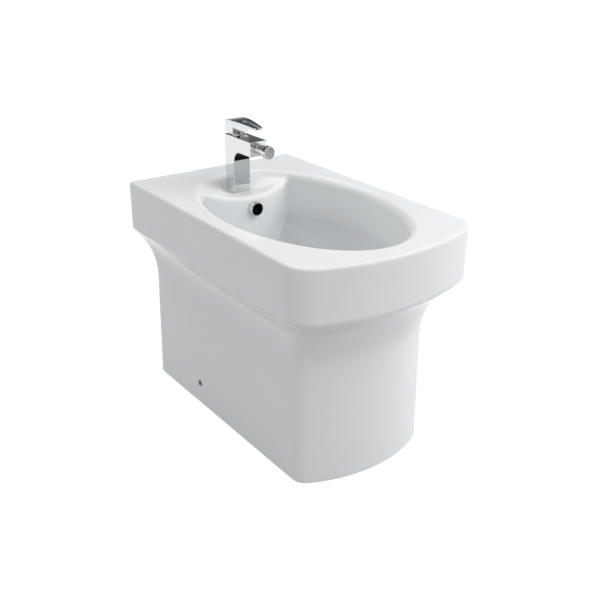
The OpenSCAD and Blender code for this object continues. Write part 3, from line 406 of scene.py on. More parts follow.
def rounded_outline(outline, radius, steps=4):
    """A closed outline of (x, y) points with its corners turned into arcs.

    A point's third number is the radius of its own corner.
    """
    result = []
    count = len(outline)
    for i, point in enumerate(outline):
        here = Vector(point[:2])
        r = point[2] if len(point) > 2 else radius
        back = Vector(outline[i - 1][:2]) - here
        on = Vector(outline[(i + 1) % count][:2]) - here
        half = back.angle(on) / 2
        if r == 0 or here.x < 1e-6 or half > math.radians(84):
            result.append((here.x, here.y))
            continue
        reach = min(r / math.tan(half), 0.45 * back.length, 0.45 * on.length)
        start = here + back.normalized() * reach
        end = here + on.normalized() * reach
        centre = here + (back.normalized() + on.normalized()).normalized() * (
            reach / math.cos(half)
        )
        a, b = start - centre, end - centre
        turn = a.angle_signed(b)
        for k in range(steps + 1):
            angle = -turn * k / steps
            c, s = math.cos(angle), math.sin(angle)
            result.append((centre.x + a.x * c - a.y * s, centre.y + a.x * s + a.y * c))
    return result


def turned(name, outline, place, material=None, steps=96, ease=0.0):
    """A piece turned about the place's Z axis, from (radius, height) points."""
    ring = rounded_outline(outline, ease)
    points, faces = [], []
    m = len(ring)
    for i in range(steps):
        angle = 2 * math.pi * i / steps
        for r, h in ring:
            points.append(place @ Vector((r * math.cos(angle), r * math.sin(angle), h)))
        for j in range(m):
            a, b = i * m + j, i * m + (j + 1) % m
            faces.append((a, b, (b + m) % (m * steps), (a + m) % (m * steps)))
    piece = mesh_piece(name, points, faces, material)
    clean(piece)
    return piece


def block(name, low, high, *materials):
    """A plain box, to cut with or to finish."""
    xs, ys, zs = zip(low, high)
    corners = [(x, y, z) for z in zs for y in ys for x in xs]
    faces = [(0, 2, 3, 1), (4, 5, 7, 6), (0, 1, 5, 4), (2, 6, 7, 3), (0, 4, 6, 2), (1, 3, 7, 5)]
    return mesh_piece(name, corners, faces, *materials)


def along(direction, origin):
    """A place whose Z axis points in a direction."""
    turn = Vector((0, 0, 1)).rotation_difference(Vector(direction)).to_matrix().to_4x4()
    return Matrix.Translation(Vector(origin)) @ turn


def softened(node, width, finish=None):
    """A CAD node's own shape with its edges eased."""
    work = bmesh.new()
    work.from_mesh(frame["nodes"][node].data)
    bmesh.ops.remove_doubles(work, verts=work.verts, dist=2e-6)
    bmesh.ops.dissolve_limit(
        work, angle_limit=math.radians(0.6), verts=work.verts, edges=work.edges
    )
    mesh = bpy.data.meshes.new(node + "_finished")
    work.to_mesh(mesh)
    work.free()
    mesh.materials.append(finish or FINISH[SLOT_OF[node]])
    for face in mesh.polygons:
        face.material_index = 0
    piece = in_scene(node + "_finished", mesh)
    edges_eased(piece, width, 2)
    shaded(piece)
    stand_for(piece, node)


# ---------------------------------------------------------------- china

# The china is one casting, so its whole surface comes from one rule: a gap to the
# clay, negative inside it, with every meeting of two surfaces rounded as glaze and
# sponging leave it.

# the skin, from the top down: upright band, hollow cove and pedestal
BAND_Z = 320.0
EDGE_R = 12.0
COVE_R = 148.0
COVE_SIN = math.sin(math.radians(45.0))
COVE_COS = math.cos(math.radians(45.0))
NECK_INSET = (COVE_R + EDGE_R) * (1 - COVE_COS)
NECK_Z = BAND_Z - COVE_R * COVE_SIN
EDGE_Z = BAND_Z + EDGE_R * COVE_SIN
RIM_EDGE_R = 5.0
WALL_T = 12.0

# its front: how deep it bows, its corners, and what each loses down at the neck
BOW, BOW_LOSS = 42.0, 5.0
CORNER_R, CORNER_LOSS = 48.0, 20.0
NECK_SET_BACK = 57.0
FOOT_SPREAD = 3.0

# the bowl's lip and fullness, and the share of its plan that is floor
LIP_R = 14.0
WALL_Z = RIM_HEIGHT - LIP_R
BOWL_FULL = 2.05
FLOOR_SHARE = 0.23
BOWL_T = 11.0

# half the tap's foot, and how the deck rises from there to the mouth's edge
FOOT_X, FOOT_Y = 18.5, 16.2
SWEEP = 18.0
SWEEP_START = 0.15

# clay under the bowl: slab of the deck, boss of the waste, duct of the overflow
MOUTH_R = 170.0  # the oval mouth's mean radius
SLAB_T = 14.0
BOSS_R, BOSS_LOW = 38.0, 238.0
DUCT_HALF, DUCT_T = 14.0, 12.0
DUCT_Z = 250.0

# openings: in the back, for the tap, the waste and its seat, the overflow and its
# channel, and the fixing screws
GATE_HALF, GATE_TOP, GATE_Y, GATE_R = 104.0, 290.0, 240.0, 40.0
TAP_HOLE_R, TAP_HOLE_LOW = 14.0, 360.0
WASTE_R, WASTE_TOP = 23.0, 300.0
SEAT_R, SEAT_LOW, SEAT_TOP = 33.0, 265.0, 280.0
OVERFLOW_R, OVERFLOW_FRONT = 11.2, 100.0
CHANNEL_R, CHANNEL_LOW = 8.0, 242.0
SCREW_Y, SCREW_Z = 127.0, 44.0
SCREW_HOLE_R, SCREW_HOLE_X = 6.0, 100.0


def both(a, b, r):
    """Inside both shapes, with their shared edge rounded."""
    corner = np.hypot(np.maximum(a + r, 0), np.maximum(b + r, 0))
    return np.minimum(np.maximum(a, b), -r) + corner


def either(a, b, r):
    """Inside one or the other, with their inner corner filled."""
    return -both(-a, -b, r)


def skin_gap(x, y, z):
    """Gap to the outer skin: upright band, hollow cove and pedestal."""
    up = np.clip((z - NECK_Z) / COVE_R, 0, COVE_SIN)
    inset = NECK_INSET - COVE_R * (1 - np.sqrt(1 - up * up))
    slope = up / np.sqrt(1 - up * up)
    edge = np.clip((EDGE_Z - z) / EDGE_R, 0, COVE_SIN)
    on_edge = z > BAND_Z
    inset = np.where(on_edge, EDGE_R * (1 - np.sqrt(1 - edge * edge)), inset)
    slope = np.where(on_edge, edge / np.sqrt(1 - edge * edge), slope)
    inset = np.where(z < NECK_Z, NECK_INSET - FOOT_SPREAD * (1 - z / NECK_Z), inset)
    turn = inset / NECK_INSET
    half = HALF_WIDTH - inset
    front = -HALF_LENGTH + NECK_SET_BACK * turn
    bow = BOW - BOW_LOSS * turn
    r = CORNER_R - CORNER_LOSS * turn
    bow_r = (half * half + bow * bow) / (2 * bow)
    bow_y = front + bow_r
    corner_x = half - r
    corner_y = bow_y - np.sqrt((bow_r - r) ** 2 - corner_x**2)
    dx, dy = corner_x, corner_y - bow_y
    side = np.abs(x)
    vx, vy = side - corner_x, y - corner_y
    in_corner = (vy < 0) & (vx > 0) & (dx * vy - dy * vx > 0)
    bowed = np.where(y < bow_y, np.hypot(x, y - bow_y) - bow_r, -1e3)
    flat = np.where(in_corner, np.hypot(vx, vy) - r, np.maximum(side - half, bowed))
    flat = flat / np.sqrt(1 + 1.2 * slope * slope)
    return flat, both(flat, y - HALF_LENGTH, 3.0)


def bowl_gap(x, y, z):
    """Gap to the room of the whole oval bowl, before the tap deck fills its rear."""
    shift = DRAIN_Y - BOWL_Y
    a2, b2 = BOWL_A**2, BOWL_B**2
    v = y - DRAIN_Y
    aa = 1 - shift * shift / b2
    bb = -2 * shift * v / b2
    cc = -(x * x / a2 + v * v / b2)
    root = np.sqrt(np.maximum(bb * bb - 4 * aa * cc, 1e-12))
    share = (-bb + root) / (2 * aa)
    share_x = (2 * x / a2) / root
    share_y = (2 * shift * share / b2 + 2 * v / b2) / root
    grow = 1 / (1 - FLOOR_SHARE)
    q = np.maximum((share - FLOOR_SHARE) * grow, 1e-4)
    s = np.maximum((WALL_Z - z) / (WALL_Z - FLOOR_Z), 0)
    n = (q**BOWL_FULL + s**BOWL_FULL) ** (1 / BOWL_FULL)
    by_q = (q / n) ** (BOWL_FULL - 1) * grow
    by_s = (s / n) ** (BOWL_FULL - 1) / (WALL_Z - FLOOR_Z)
    steep = np.sqrt(by_q**2 * (share_x**2 + share_y**2) + by_s**2)
    return (n - 1) / np.maximum(steep, 1e-4)


def deck_level(x, y):
    """Height of the tap deck: flat at the tap's foot, then rising to the mouth's edge."""
    beside = np.maximum(np.abs(x) - FOOT_X, 0)
    behind = np.maximum(np.abs(y - TAP_Y) - FOOT_Y, 0)
    from_tap = np.hypot(beside, behind)
    out = np.hypot(x / BOWL_A, (y - BOWL_Y) / BOWL_B)
    steep = np.hypot(x / BOWL_A**2, (y - BOWL_Y) / BOWL_B**2) / np.maximum(out, 0.1)
    to_edge = np.maximum(1 - out, 0) / np.maximum(steep, 1e-3)
    share = from_tap / (from_tap + to_edge + 1e-6)
    return DECK_HEIGHT + SWEEP * (1 + SWEEP_START) * share * share / (share + SWEEP_START)


def deck_gap(x, y, z):
    """Gap to the tap deck: dished on top, with a bowed and upright front wall."""
    front = np.hypot(x, y - DECK_FRONT - DECK_BOW_R) - DECK_BOW_R
    front = np.where(y > DECK_FRONT + DECK_BOW_R, -DECK_BOW_R, front)
    level = deck_level(x, y)
    slope_x = (deck_level(x + 0.5, y) - level) / 0.5
    slope_y = (deck_level(x, y + 0.5) - level) / 0.5
    top = (z - level) / np.sqrt(1 + slope_x**2 + slope_y**2)
    return both(front, top, DECK_EDGE_R)


def room_gap(x, y, z):
    """Gap to the washing room: the bowl less the deck."""
    # the deck's front wall meets the bowl's wall tightly, its top more softly
    corner = 2.0 + 4.0 * np.clip((z - DECK_HEIGHT + 3.0) / 8.0, 0, 1)
    return both(bowl_gap(x, y, z), -deck_gap(x, y, z), corner)


def china_gap(x, y, z):
    """Gap to the clay itself."""
    flat, skin = skin_gap(x, y, z)
    room = room_gap(x, y, z)
    clay = both(skin, z - RIM_HEIGHT, RIM_EDGE_R)
    clay = both(clay, -room, LIP_R)
    # inside of the pedestal and the rim, round the bowl's shell, slab, boss and duct
    mouth = (np.hypot(x / BOWL_A, (y - BOWL_Y) / BOWL_B) - 1) * MOUTH_R
    slab = both(mouth - BOWL_T, (DECK_HEIGHT - SLAB_T) - z, 4.0)
    kept = either(room - BOWL_T, slab, 8.0)
    far = np.hypot(x, y - DRAIN_Y)
    boss = both(far - BOSS_R, BOSS_LOW - z, 4.0)
    kept = either(kept, boss, 8.0)
    duct = np.maximum(np.abs(x) - DUCT_HALF, np.abs(y - CHANNEL_Y) - DUCT_T)
    duct = both(duct, BOSS_LOW - z, 4.0)
    drain = np.maximum(np.abs(x) - DUCT_HALF, np.abs(z - DUCT_Z) - DUCT_T)
    drain = np.maximum(drain, np.maximum(y - CHANNEL_Y, DRAIN_Y - y))
    kept = either(kept, either(duct, drain, 3.0), 5.0)
    inner = both(flat + WALL_T, y - HALF_LENGTH + WALL_T, 6.0)
    inner = both(inner, z - (RIM_HEIGHT - 15.0), 10.0)
    hollow = both(inner, -kept, 5.0)
    clay = both(clay, -hollow, 2.0)
    clay = both(clay, -z, 2.5)
    # the openings
    gate = both(np.abs(x) - GATE_HALF, z - GATE_TOP, GATE_R)
    gate = np.maximum(gate, GATE_Y - y)
    clay = both(clay, -gate, 3.0)
    stem = np.maximum(np.hypot(x, y - TAP_Y) - TAP_HOLE_R, TAP_HOLE_LOW - z)
    clay = both(clay, -stem, 1.0)
    clay = both(clay, -np.maximum(far - WASTE_R, z - WASTE_TOP), 1.0)
    seat = np.maximum(SEAT_LOW - z, z - SEAT_TOP)
    clay = both(clay, -np.maximum(far - SEAT_R, seat), 1.5)
    bore = np.hypot(x, z - OVERFLOW_HEIGHT) - OVERFLOW_R
    bore = np.maximum(bore, np.maximum(OVERFLOW_FRONT - y, y - CHANNEL_Y))
    pipe = np.hypot(x, y - CHANNEL_Y) - CHANNEL_R
    pipe = np.maximum(pipe, np.maximum(CHANNEL_LOW - z, z - OVERFLOW_HEIGHT))
    clay = both(clay, -np.minimum(bore, pipe), 0.8)
    for_screw = np.hypot(y - SCREW_Y, z - SCREW_Z) - SCREW_HOLE_R
    for_screw = np.maximum(for_screw, SCREW_HOLE_X - np.abs(x))
    return both(clay, -for_screw, 0.8)


def net_over(gap, low, high, step):
    """Points and four-sided faces of the surface where the gap is nought."""
    axes = [np.arange(a, b + step, step) for a, b in zip(low, high)]
    x, y, z = np.meshgrid(*axes, indexing="ij")
    value = gap(x, y, z)
    cells = tuple(n - 1 for n in value.shape)
    total = np.zeros((3, math.prod(cells)))
    count = np.zeros(math.prod(cells))
    crossings = []
    for axis in range(3):
        first = [slice(None)] * 3
        second = [slice(None)] * 3
        first[axis], second[axis] = slice(None, -1), slice(1, None)
        a, b = value[tuple(first)], value[tuple(second)]
        spot = np.argwhere((a < 0) != (b < 0))
        at_a = a[tuple(spot.T)]
        at_b = b[tuple(spot.T)]
        point = spot.astype(float)
        point[:, axis] += at_a / (at_a - at_b)
        u, v = [k for k in range(3) if k != axis]
        near = []
        for du, dv in ((0, 0), (1, 0), (1, 1), (0, 1)):
            cell = spot.copy()
            cell[:, u] -= du
            cell[:, v] -= dv
            ok = np.all((cell >= 0) & (cell < np.array(cells)), axis=1)
            number = np.ravel_multi_index(np.where(ok[:, None], cell, 0).T, cells)
            number = np.where(ok, number, -1)
            near.append(number)
            count += np.bincount(number[ok], minlength=count.size)
            for k in range(3):
                total[k] += np.bincount(number[ok], weights=point[ok, k], minlength=count.size)
        crossings.append((np.array(near).T, (at_a < 0) == (axis != 1)))
    used = np.flatnonzero(count)
    order = np.full(count.size, -1)
    order[used] = np.arange(used.size)
    points = np.array(low) + step * (total[:, used] / count[used]).T
    faces = []
    for quads, forward in crossings:
        whole = np.all(quads >= 0, axis=1)
        quads, forward = order[quads[whole]], forward[whole]
        faces.append(np.where(forward[:, None], quads, quads[:, ::-1]))
    return points, np.concatenate(faces)


def slope_of(gap, points, reach=0.05):
    """How the gap grows along X, Y and Z at each point."""
    result = np.empty_like(points)
    for k in range(3):
        shift = np.zeros(3)
        shift[k] = reach
        ahead, behind = (points + shift).T, (points - shift).T
        result[:, k] = (gap(*ahead) - gap(*behind)) / (2 * reach)
    return result


def settled(gap, points, rounds, limit):
    """Points moved onto the surface."""
    for _ in range(rounds):
        slope = slope_of(gap, points)
        steep = np.maximum((slope**2).sum(axis=1), 0.05)
        step = (gap(*points.T) / steep)[:, None] * slope
        size = np.linalg.norm(step, axis=1, keepdims=True)
        points = points - step * np.minimum(1, limit / np.maximum(size, 1e-9))
    return points


# the most triangles that the china keeps; a piece's STL file is thinned past 200,000
# triangles
MOST_TRIANGLES = 190000


def make_china():
    step = 3.0
    points, faces = net_over(
        china_gap,
        (-HALF_WIDTH - 1.5 * step, -HALF_LENGTH - 1.7 * step, -1.6 * step),
        (HALF_WIDTH + 1.5 * step, HALF_LENGTH + 2 * step, RIM_HEIGHT + 2 * step),
        step,
    )
    points = settled(china_gap, points, 3, 0.5 * step)
    finishes = FINISH["china"], INSIDE_CLAY, OVERFLOW_BORE_SHADE
    piece = mesh_piece("china", points, faces.tolist(), *finishes)
    if len(faces) * 2 > MOST_TRIANGLES:
        thin = piece.modifiers.new("thin", "DECIMATE")
        thin.ratio = MOST_TRIANGLES / (len(faces) * 2)
        baked(piece)
    mesh = piece.data
    place = np.empty(len(mesh.vertices) * 3)
    mesh.vertices.foreach_get("co", place)
    place = settled(china_gap, place.reshape(-1, 3) / MM, 2, 0.5)
    mesh.vertices.foreach_set("co", (place * MM).ravel())
    # bare clay inside and underneath, near-black painted shade in the overflow's bores
    middle = np.empty(len(mesh.polygons) * 3)
    mesh.polygons.foreach_get("center", middle)
    x, y, z = (middle.reshape(-1, 3) / MM).T
    _, skin = skin_gap(x, y, z)
    room = room_gap(x, y, z)
    outside = both(both(skin, z - RIM_HEIGHT, RIM_EDGE_R), -room, LIP_R)
    buried = outside < -2.5
    # where the overflow's bores get their painted shade
    in_bore_shade = (np.abs(x) < 13) & (y > 118) & (y < 168) & (z > 236) & (z < 384) & (room > 5)
    index = np.where(buried, 1, 0)
    index = np.where(in_bore_shade & (np.hypot(x, y - CHANNEL_Y) < 11.5), 2, index)
    index = np.where(in_bore_shade & (np.hypot(x, z - OVERFLOW_HEIGHT) < 11.6), 2, index)
    index = np.where(z < 0.6, 1, index)
    mesh.polygons.foreach_set("material_index", index.astype(np.int32))
    mesh.shade_smooth()
    normal = slope_of(china_gap, place, 0.3)
    normal /= np.maximum(np.linalg.norm(normal, axis=1, keepdims=True), 1e-9)
    mesh.normals_split_custom_set_from_vertices(normal.tolist())
    mesh.update()
    stand_for(piece, "china_body")


make_china()


# ---------------------------------------------------------------- tap

TAP_HALF = 17.5
TAP_HALF_DEPTH = 15.25
TAP_TOP = 109.5
SPOUT_FRONT = -TAP_HALF_DEPTH - 55.0
SPOUT_LOW = TAP_TOP - 27.0
ARCH_R = 19.0
ARCH_Y = -TAP_HALF_DEPTH - ARCH_R
ARCH_Z = SPOUT_LOW - ARCH_R
GASKET_T = 1.5
CARTRIDGE_Y = -1.25
CARTRIDGE_Z = TAP_TOP - 36.5
PIVOT_Z = CARTRIDGE_Z + 28.0
SOCKET_Z = TAP_TOP - 13.5
SOCKET_DEPTH = 14.0
AT_TAP = Matrix.Translation((0, TAP_Y, DECK_HEIGHT))


def bar(radius, low, high, place, steps=64):
    """A round bar for boring, along the place's Z axis."""
    outline = [(0, low), (radius, low), (radius, high), (0, high)]
    return turned("bar", outline, place, None, steps)


def tap_bar(radius, low, high, x, y, steps=64):
    """A round bar for boring, upright at the tap."""
    return bar(radius, low, high, AT_TAP @ Matrix.Translation((x, y, 0)), steps)


def make_tap_body():
    # side view of the column, the spout and the arch under it
    side = [
        (TAP_HALF_DEPTH, GASKET_T),
        (TAP_HALF_DEPTH, TAP_TOP),
        (SPOUT_FRONT, TAP_TOP),
        (SPOUT_FRONT, SPOUT_LOW),
    ]
    side += [(ARCH_Y + y, ARCH_Z + z) for y, z, _ in arc(ARCH_R, math.pi / 2, 0, 28)]
    side.append((-TAP_HALF_DEPTH, GASKET_T))
    n = len(side)
    points = [AT_TAP @ Vector((x, y, z)) for x in (-TAP_HALF, TAP_HALF) for y, z in side]
    faces = [tuple(range(n)), tuple(range(2 * n - 1, n - 1, -1))]
    faces += [(i, n + i, n + (i + 1) % n, (i + 1) % n) for i in range(n)]
    piece = mesh_piece("tap_casting", points, faces, FINISH["chrome"])
    clean(piece)
    edges_eased(piece, 0.7)
    # bored for the cartridge and its nut, the two inlets, the stud and the nozzle
    carved(
        piece,
        tap_bar(13.2, CARTRIDGE_Z, TAP_TOP + 2, 0, CARTRIDGE_Y),
        tap_bar(14.1, CARTRIDGE_Z + 26.8, TAP_TOP + 2, 0, CARTRIDGE_Y),
        tap_bar(5.0, 0, GASKET_T + 14, -7.0, 2.25, 48),
        tap_bar(5.0, 0, GASKET_T + 14, 7.0, 2.25, 48),
        tap_bar(3.1, 0, GASKET_T + 12, 0, -8.5, 48),
        bar(10, -SOCKET_DEPTH, 1, AT_TAP @ along((0, -1, 0), (0, SPOUT_FRONT, SOCKET_Z))),
    )
    shaded(piece, 30.0)
    # the arch's hollow face gets the dark plate: painted shade
    piece.data.materials.append(ARCH_SHADE_PLATE)
    shade_slot = len(piece.data.materials) - 1
    for face in piece.data.polygons:
        y = face.center.y / MM - TAP_Y - ARCH_Y
        z = face.center.z / MM - DECK_HEIGHT - ARCH_Z
        on_arch = y > 0.5 and z > 0.5 and abs(math.hypot(y, z) - ARCH_R) < 0.6
        if on_arch and abs(face.center.x) / MM < TAP_HALF - 0.6:
            face.material_index = shade_slot
    stand_for(piece, "tap_body")


make_tap_body()

# lever: hub over the dome and a tapering blade with a finger groove
HUB_L = 26.0
HUB_BACK = CARTRIDGE_Y + 14.5
HUB_FRONT = HUB_BACK - HUB_L
HUB_LOW = TAP_TOP + 4.3
HUB_TOP = HUB_LOW + 23.5
BLADE_L = 58.5
BLADE_T = 6.0
BLADE_TIP = HUB_FRONT - BLADE_L
BLADE_TIP_HALF = 9.5
BLADE_ROOT = HUB_FRONT - 4.0
GROOVE_END = HUB_FRONT - 9.0
GROOVE_HALF = 5.0
GROOVE_DEPTH = 2.2
CREST_Y = -5.0
DOME_ROOM_R = 18.9


def lever_top(y):
    """Crown of the hub, falling off quickly behind its crest and slowly along the blade."""
    bend = 560.0 if y < CREST_Y else 110.0
    return HUB_TOP + 0.4 - (y - CREST_Y) ** 2 / (2 * bend)


def lever_low(y):
    """Underside of the hub and of the blade, which thins towards its tip."""
    if y >= HUB_FRONT:
        return HUB_LOW + 0.8 * (y - HUB_FRONT) / HUB_L
    return lever_top(y) - BLADE_T + 2.0 * (HUB_FRONT - y) / BLADE_L


def make_lever():
    hub = [HUB_BACK - HUB_L * i / 8 for i in range(8)]
    blade = [HUB_FRONT - BLADE_L * i / 26 for i in range(1, 27)]
    turns = [math.radians(a) for a in (0, 25, 45, 65, 90)]
    groove = [GROOVE_END - GROOVE_HALF * (1 - math.cos(a)) for a in turns]
    rows = [(y, lever_low(y)) for y in hub]
    rows += [(HUB_FRONT, HUB_LOW), (HUB_FRONT, lever_top(HUB_FRONT) - BLADE_T)]
    for y in sorted(blade + groove, reverse=True):
        if rows[-1][0] - y > 0.35:
            rows.append((y, lever_low(y)))
    points, faces = [], []
    for y, low in rows:
        across = TAP_HALF
        if y < BLADE_ROOT:
            share = (BLADE_ROOT - y) / (BLADE_ROOT - BLADE_TIP)
            across += (BLADE_TIP_HALF - TAP_HALF) * share
        top = lever_top(y)
        # the groove's end is round, and it runs out deeper over the last 9 mm
        inside = min(1.0, max(0.0, GROOVE_END - y) / GROOVE_HALF)
        half = GROOVE_HALF * math.sqrt(max(0.0, 1 - (1 - inside) ** 2))
        depth = 0.0
        if half > 0.2:
            depth = GROOVE_DEPTH + 1.3 * max(0.0, (BLADE_TIP + 9.0 - y) / 9.0)
        half = max(half, 0.6)
        section = [
            (-across, low), (across, low), (across, top),
            (half, top), (half, top - depth), (-half, top - depth), (-half, top),
            (-across, top),
        ]
        points += [AT_TAP @ Vector((x, y, z)) for x, z in section]
    m = len(section)
    last = (len(rows) - 1) * m
    for i in range(0, last, m):
        for j in range(m):
            a, b = i + j, i + (j + 1) % m
            faces.append((a, b, b + m, a + m))
    faces.append(tuple(range(m - 1, -1, -1)))
    faces.append(tuple(range(last, last + m)))
    piece = mesh_piece("lever", points, faces, FINISH["chrome"])
    clean(piece)
    edges_eased(piece, 0.55, 3, 50.0)
    # room for the dome, square hole for the spindle, grub screw and index plug
    room = [(r, PIVOT_Z + z) for r, z, _ in arc(DOME_ROOM_R, -math.pi / 2, math.pi / 2, 24)]
    room[0], room[-1] = (0, PIVOT_Z - DOME_ROOM_R), (0, PIVOT_Z + DOME_ROOM_R)
    at_spindle = AT_TAP @ Matrix.Translation((0, CARTRIDGE_Y, 0))
    back = along((0, -1, 0), (0, TAP_Y + HUB_BACK + 1, DECK_HEIGHT + PIVOT_Z + 20))
    middle = TAP_Y + CARTRIDGE_Y, DECK_HEIGHT + PIVOT_Z
    carved(
        piece,
        turned("room", room, at_spindle),
        block(
            "square",
            (-3.6, middle[0] - 3.6, middle[1]),
            (3.6, middle[0] + 3.6, middle[1] + 22.5),
        ),
        bar(2.1, 0, 14, back, 32),
        bar(3.35, 0, 3.4, back, 48),
    )
    shaded(piece, 40.0)
    stand_for(piece, "lever_handle")


make_lever()


def make_dome():
    # pressed cap over the cartridge, open at the top for the spindle
    outer, inner, foot, hole = 18.2, 16.8, 8.6, 10.5
    points = arc(outer, math.asin(foot / outer), math.acos(hole / outer), 12)
    points += arc(inner, math.acos(hole / inner), math.asin(foot / inner), 12)
    place = AT_TAP @ Matrix.Translation((0, CARTRIDGE_Y, PIVOT_Z))
    piece = turned("dome", points, place, FINISH["chrome"])
    shaded(piece)
    stand_for(piece, "dome_cap")


make_dome()

# ---------------------------------------------------------------- nozzle

BALL_BACK = 1.6
BALL_PLACE = AT_TAP @ along((0, -1, 0), (0, SPOUT_FRONT + BALL_BACK, SOCKET_Z))
BALL_R = 8.5
BORE_R = 3.5
SLEEVE_START = 8.6
SLEEVE_END = SLEEVE_START + 28.3


def make_nozzle():
    seat, lip = 8.8, 3.0
    mouth = math.sqrt(seat * seat - lip * lip) - 0.35
    back = BALL_BACK + 1.2 - SOCKET_DEPTH
    outline = [(seat, back)] + arc(seat, 0, math.acos(mouth / seat), 8) + [
        (mouth, lip, 0.15), (11.0, lip, 0.5), (11.0, 1.8, 0.2), (9.9, 1.8, 0.0),
        (9.9, back, 0.3),
    ]
    housing = turned("ball_socket", outline, BALL_PLACE, FINISH["chrome"], ease=0.1)
    shaded(housing)
    stand_for(housing, "ball_housing")

    stem = 5.5
    outline = arc(BALL_R, -math.acos(BORE_R / BALL_R), math.acos(stem / BALL_R), 24)
    outline[0] = (BORE_R, -math.sqrt(BALL_R**2 - BORE_R**2), 0.2)
    outline += [(stem, SLEEVE_START + 7.0, 0.4), (BORE_R, SLEEVE_START + 7.0, 0.3)]
    piece = turned("swivel_ball", outline, BALL_PLACE, FINISH["chrome"])
    shaded(piece, 40.0)
    stand_for(piece, "nozzle_ball")

    # a cone, a narrow neck, then the grip with the aerator's seat in its end
    start, end = SLEEVE_START, SLEEVE_END
    neck = end - 10.7
    outline = [
        (5.6, start, 0.2), (8.4, start, 0.5), (9.0, start + 0.8, 0.4),
        (11.0, neck - 0.5, 0.5), (10.3, neck, 0.2), (10.3, neck + 1.2, 0.2),
        (11.8, neck + 1.7, 0.45), (11.8, end - 0.6, 0.5), (11.2, end, 0.3), (10.1, end, 0.3),
        (10.1, end - 6.0, 0.0), (8.0, end - 6.0, 0.0), (7.0, start + 6.0, 0.0),
        (5.6, start + 6.0, 0.0),
    ]
    sleeve = turned("spray_sleeve", outline, BALL_PLACE, FINISH["chrome"])
    shaded(sleeve)
    stand_for(sleeve, "nozzle_sleeve")


make_nozzle()


def make_aerator():
    # perforated plate: a hole in the middle and two rings of holes round it
    tree = bpy.data.node_groups.new("rings of holes", "GeometryNodeTree")
    for name, kind in (
        ("Holes", "NodeSocketInt"),
        ("Ring radius", "NodeSocketFloat"),
        ("Hole radius", "NodeSocketFloat"),
    ):
        tree.interface.new_socket(name, in_out="INPUT", socket_type=kind)
    tree.interface.new_socket("Geometry", in_out="OUTPUT", socket_type="NodeSocketGeometry")
    given = add(tree, "NodeGroupInput").outputs
    ring = add(
        tree, "GeometryNodeMeshCircle", Vertices=given["Holes"], Radius=given["Ring radius"]
    )
    pin = add(
        tree,
        "GeometryNodeMeshCylinder",
        {"Vertices": 20, "Depth": 20.0 * MM},
        Radius=given["Hole radius"],
    )
    many = add(
        tree,
        "GeometryNodeInstanceOnPoints",
        Points=ring.outputs["Mesh"],
        Instance=pin.outputs["Mesh"],
    )
    real = add(tree, "GeometryNodeRealizeInstances", Geometry=many.outputs["Instances"])
    finish = add(
        tree,
        "GeometryNodeSetMaterial",
        {"Material": FINISH["grey_plastic"]},
        Geometry=real.outputs["Geometry"],
    )
    add(tree, "NodeGroupOutput", Geometry=finish.outputs["Geometry"])
    sockets = {s.name: s.identifier for s in tree.interface.items_tree if s.in_out == "INPUT"}

    face = SLEEVE_END - 1.5
    outline = [
        (0, face - 5.0), (10.0, face - 5.0), (10.0, face), (8.9, face), (8.6, face - 0.7),
        (0, face - 0.7),
    ]
    piece = turned("aerator", outline, BALL_PLACE, FINISH["grey_plastic"], ease=0.2)
    middle = BALL_PLACE @ Matrix.Translation((0, 0, face - 2.5))
    carved(piece, bar(1.2, -10, 10, middle, 24))
    middle.translation *= MM
    for holes, radius in ((6, 3.4), (12, 6.8)):
        holder = in_scene("holes", bpy.data.meshes.new("holes"))
        maker = holder.modifiers.new("holes", "NODES")
        maker.node_group = tree
        maker[sockets["Holes"]] = holes
        maker[sockets["Ring radius"]] = radius * MM
        maker[sockets["Hole radius"]] = 1.0 * MM
        baked(holder)
        holder.data.transform(middle)
        carved(piece, holder)
    shaded(piece)
    stand_for(piece, "aerator_insert")


make_aerator()

# ---------------------------------------------------------------- overflow and screws


def make_overflow_ring():
    flange = 0.8  # its back clears the bowed wall
    outline = [
        (9.5, -8.0), (11.0, -8.0), (11.0, flange, 0.2), (14.0, flange),
        (14.0, flange + 1.0, 0.4), (13.5, 8.4, 0.9), (12.9, 9.6, 0.8), (11.5, 9.6, 0.5),
        (11.0, 6.0), (10.5, 4.0, 0.2),
    ]
    place = along((0, -1, 0), (0, DECK_FRONT, OVERFLOW_HEIGHT))
    piece = turned("overflow_trim", outline, place, FINISH["chrome"], ease=0.3)
    shaded(piece)
    stand_for(piece, "overflow_ring")


make_overflow_ring()

# ---------------------------------------------------------------- pieces of the CAD's shape

# the fixing screws' heads get a darker chrome plate
softened("side_screws", 0.35, DARKENED_SCREW_PLATE)

for node, width in (
    ("side_sleeves", 0.35), ("floor_bracket_left", 0.8), ("floor_bracket_right", 0.8),
    ("floor_bolts", 0.5), ("floor_washers", 0.3), ("mounting_nut", 0.4),
    ("horseshoe_plate", 0.3), ("horseshoe_rubber", 0.5), ("waste_body", 0.4),
    ("waste_nut", 0.7), ("waste_plug", 0.5), ("trap_inlet_nut", 0.7),
    ("trap_dip_tube", 0.3), ("trap_slip_nut", 0.7), ("trap_head", 0.8),
    ("trap_cup", 0.9), ("trap_outlet_nut", 0.7), ("trap_outlet_pipe", 0.3),
):
    softened(node, width)


def make_gasket():
    half_x, half_y = 17.1, 14.85
    piece = block(
        "foot_gasket",
        (-half_x, TAP_Y - half_y, DECK_HEIGHT),
        (half_x, TAP_Y + half_y, DECK_HEIGHT + GASKET_T),
        FINISH["white_plastic"],
    )
    edges_eased(piece, 0.3, 2)
    carved(piece, tap_bar(12.5, -2.0, GASKET_T + 2.0, 0, 0))
    shaded(piece)
    stand_for(piece, "base_gasket")


make_gasket()


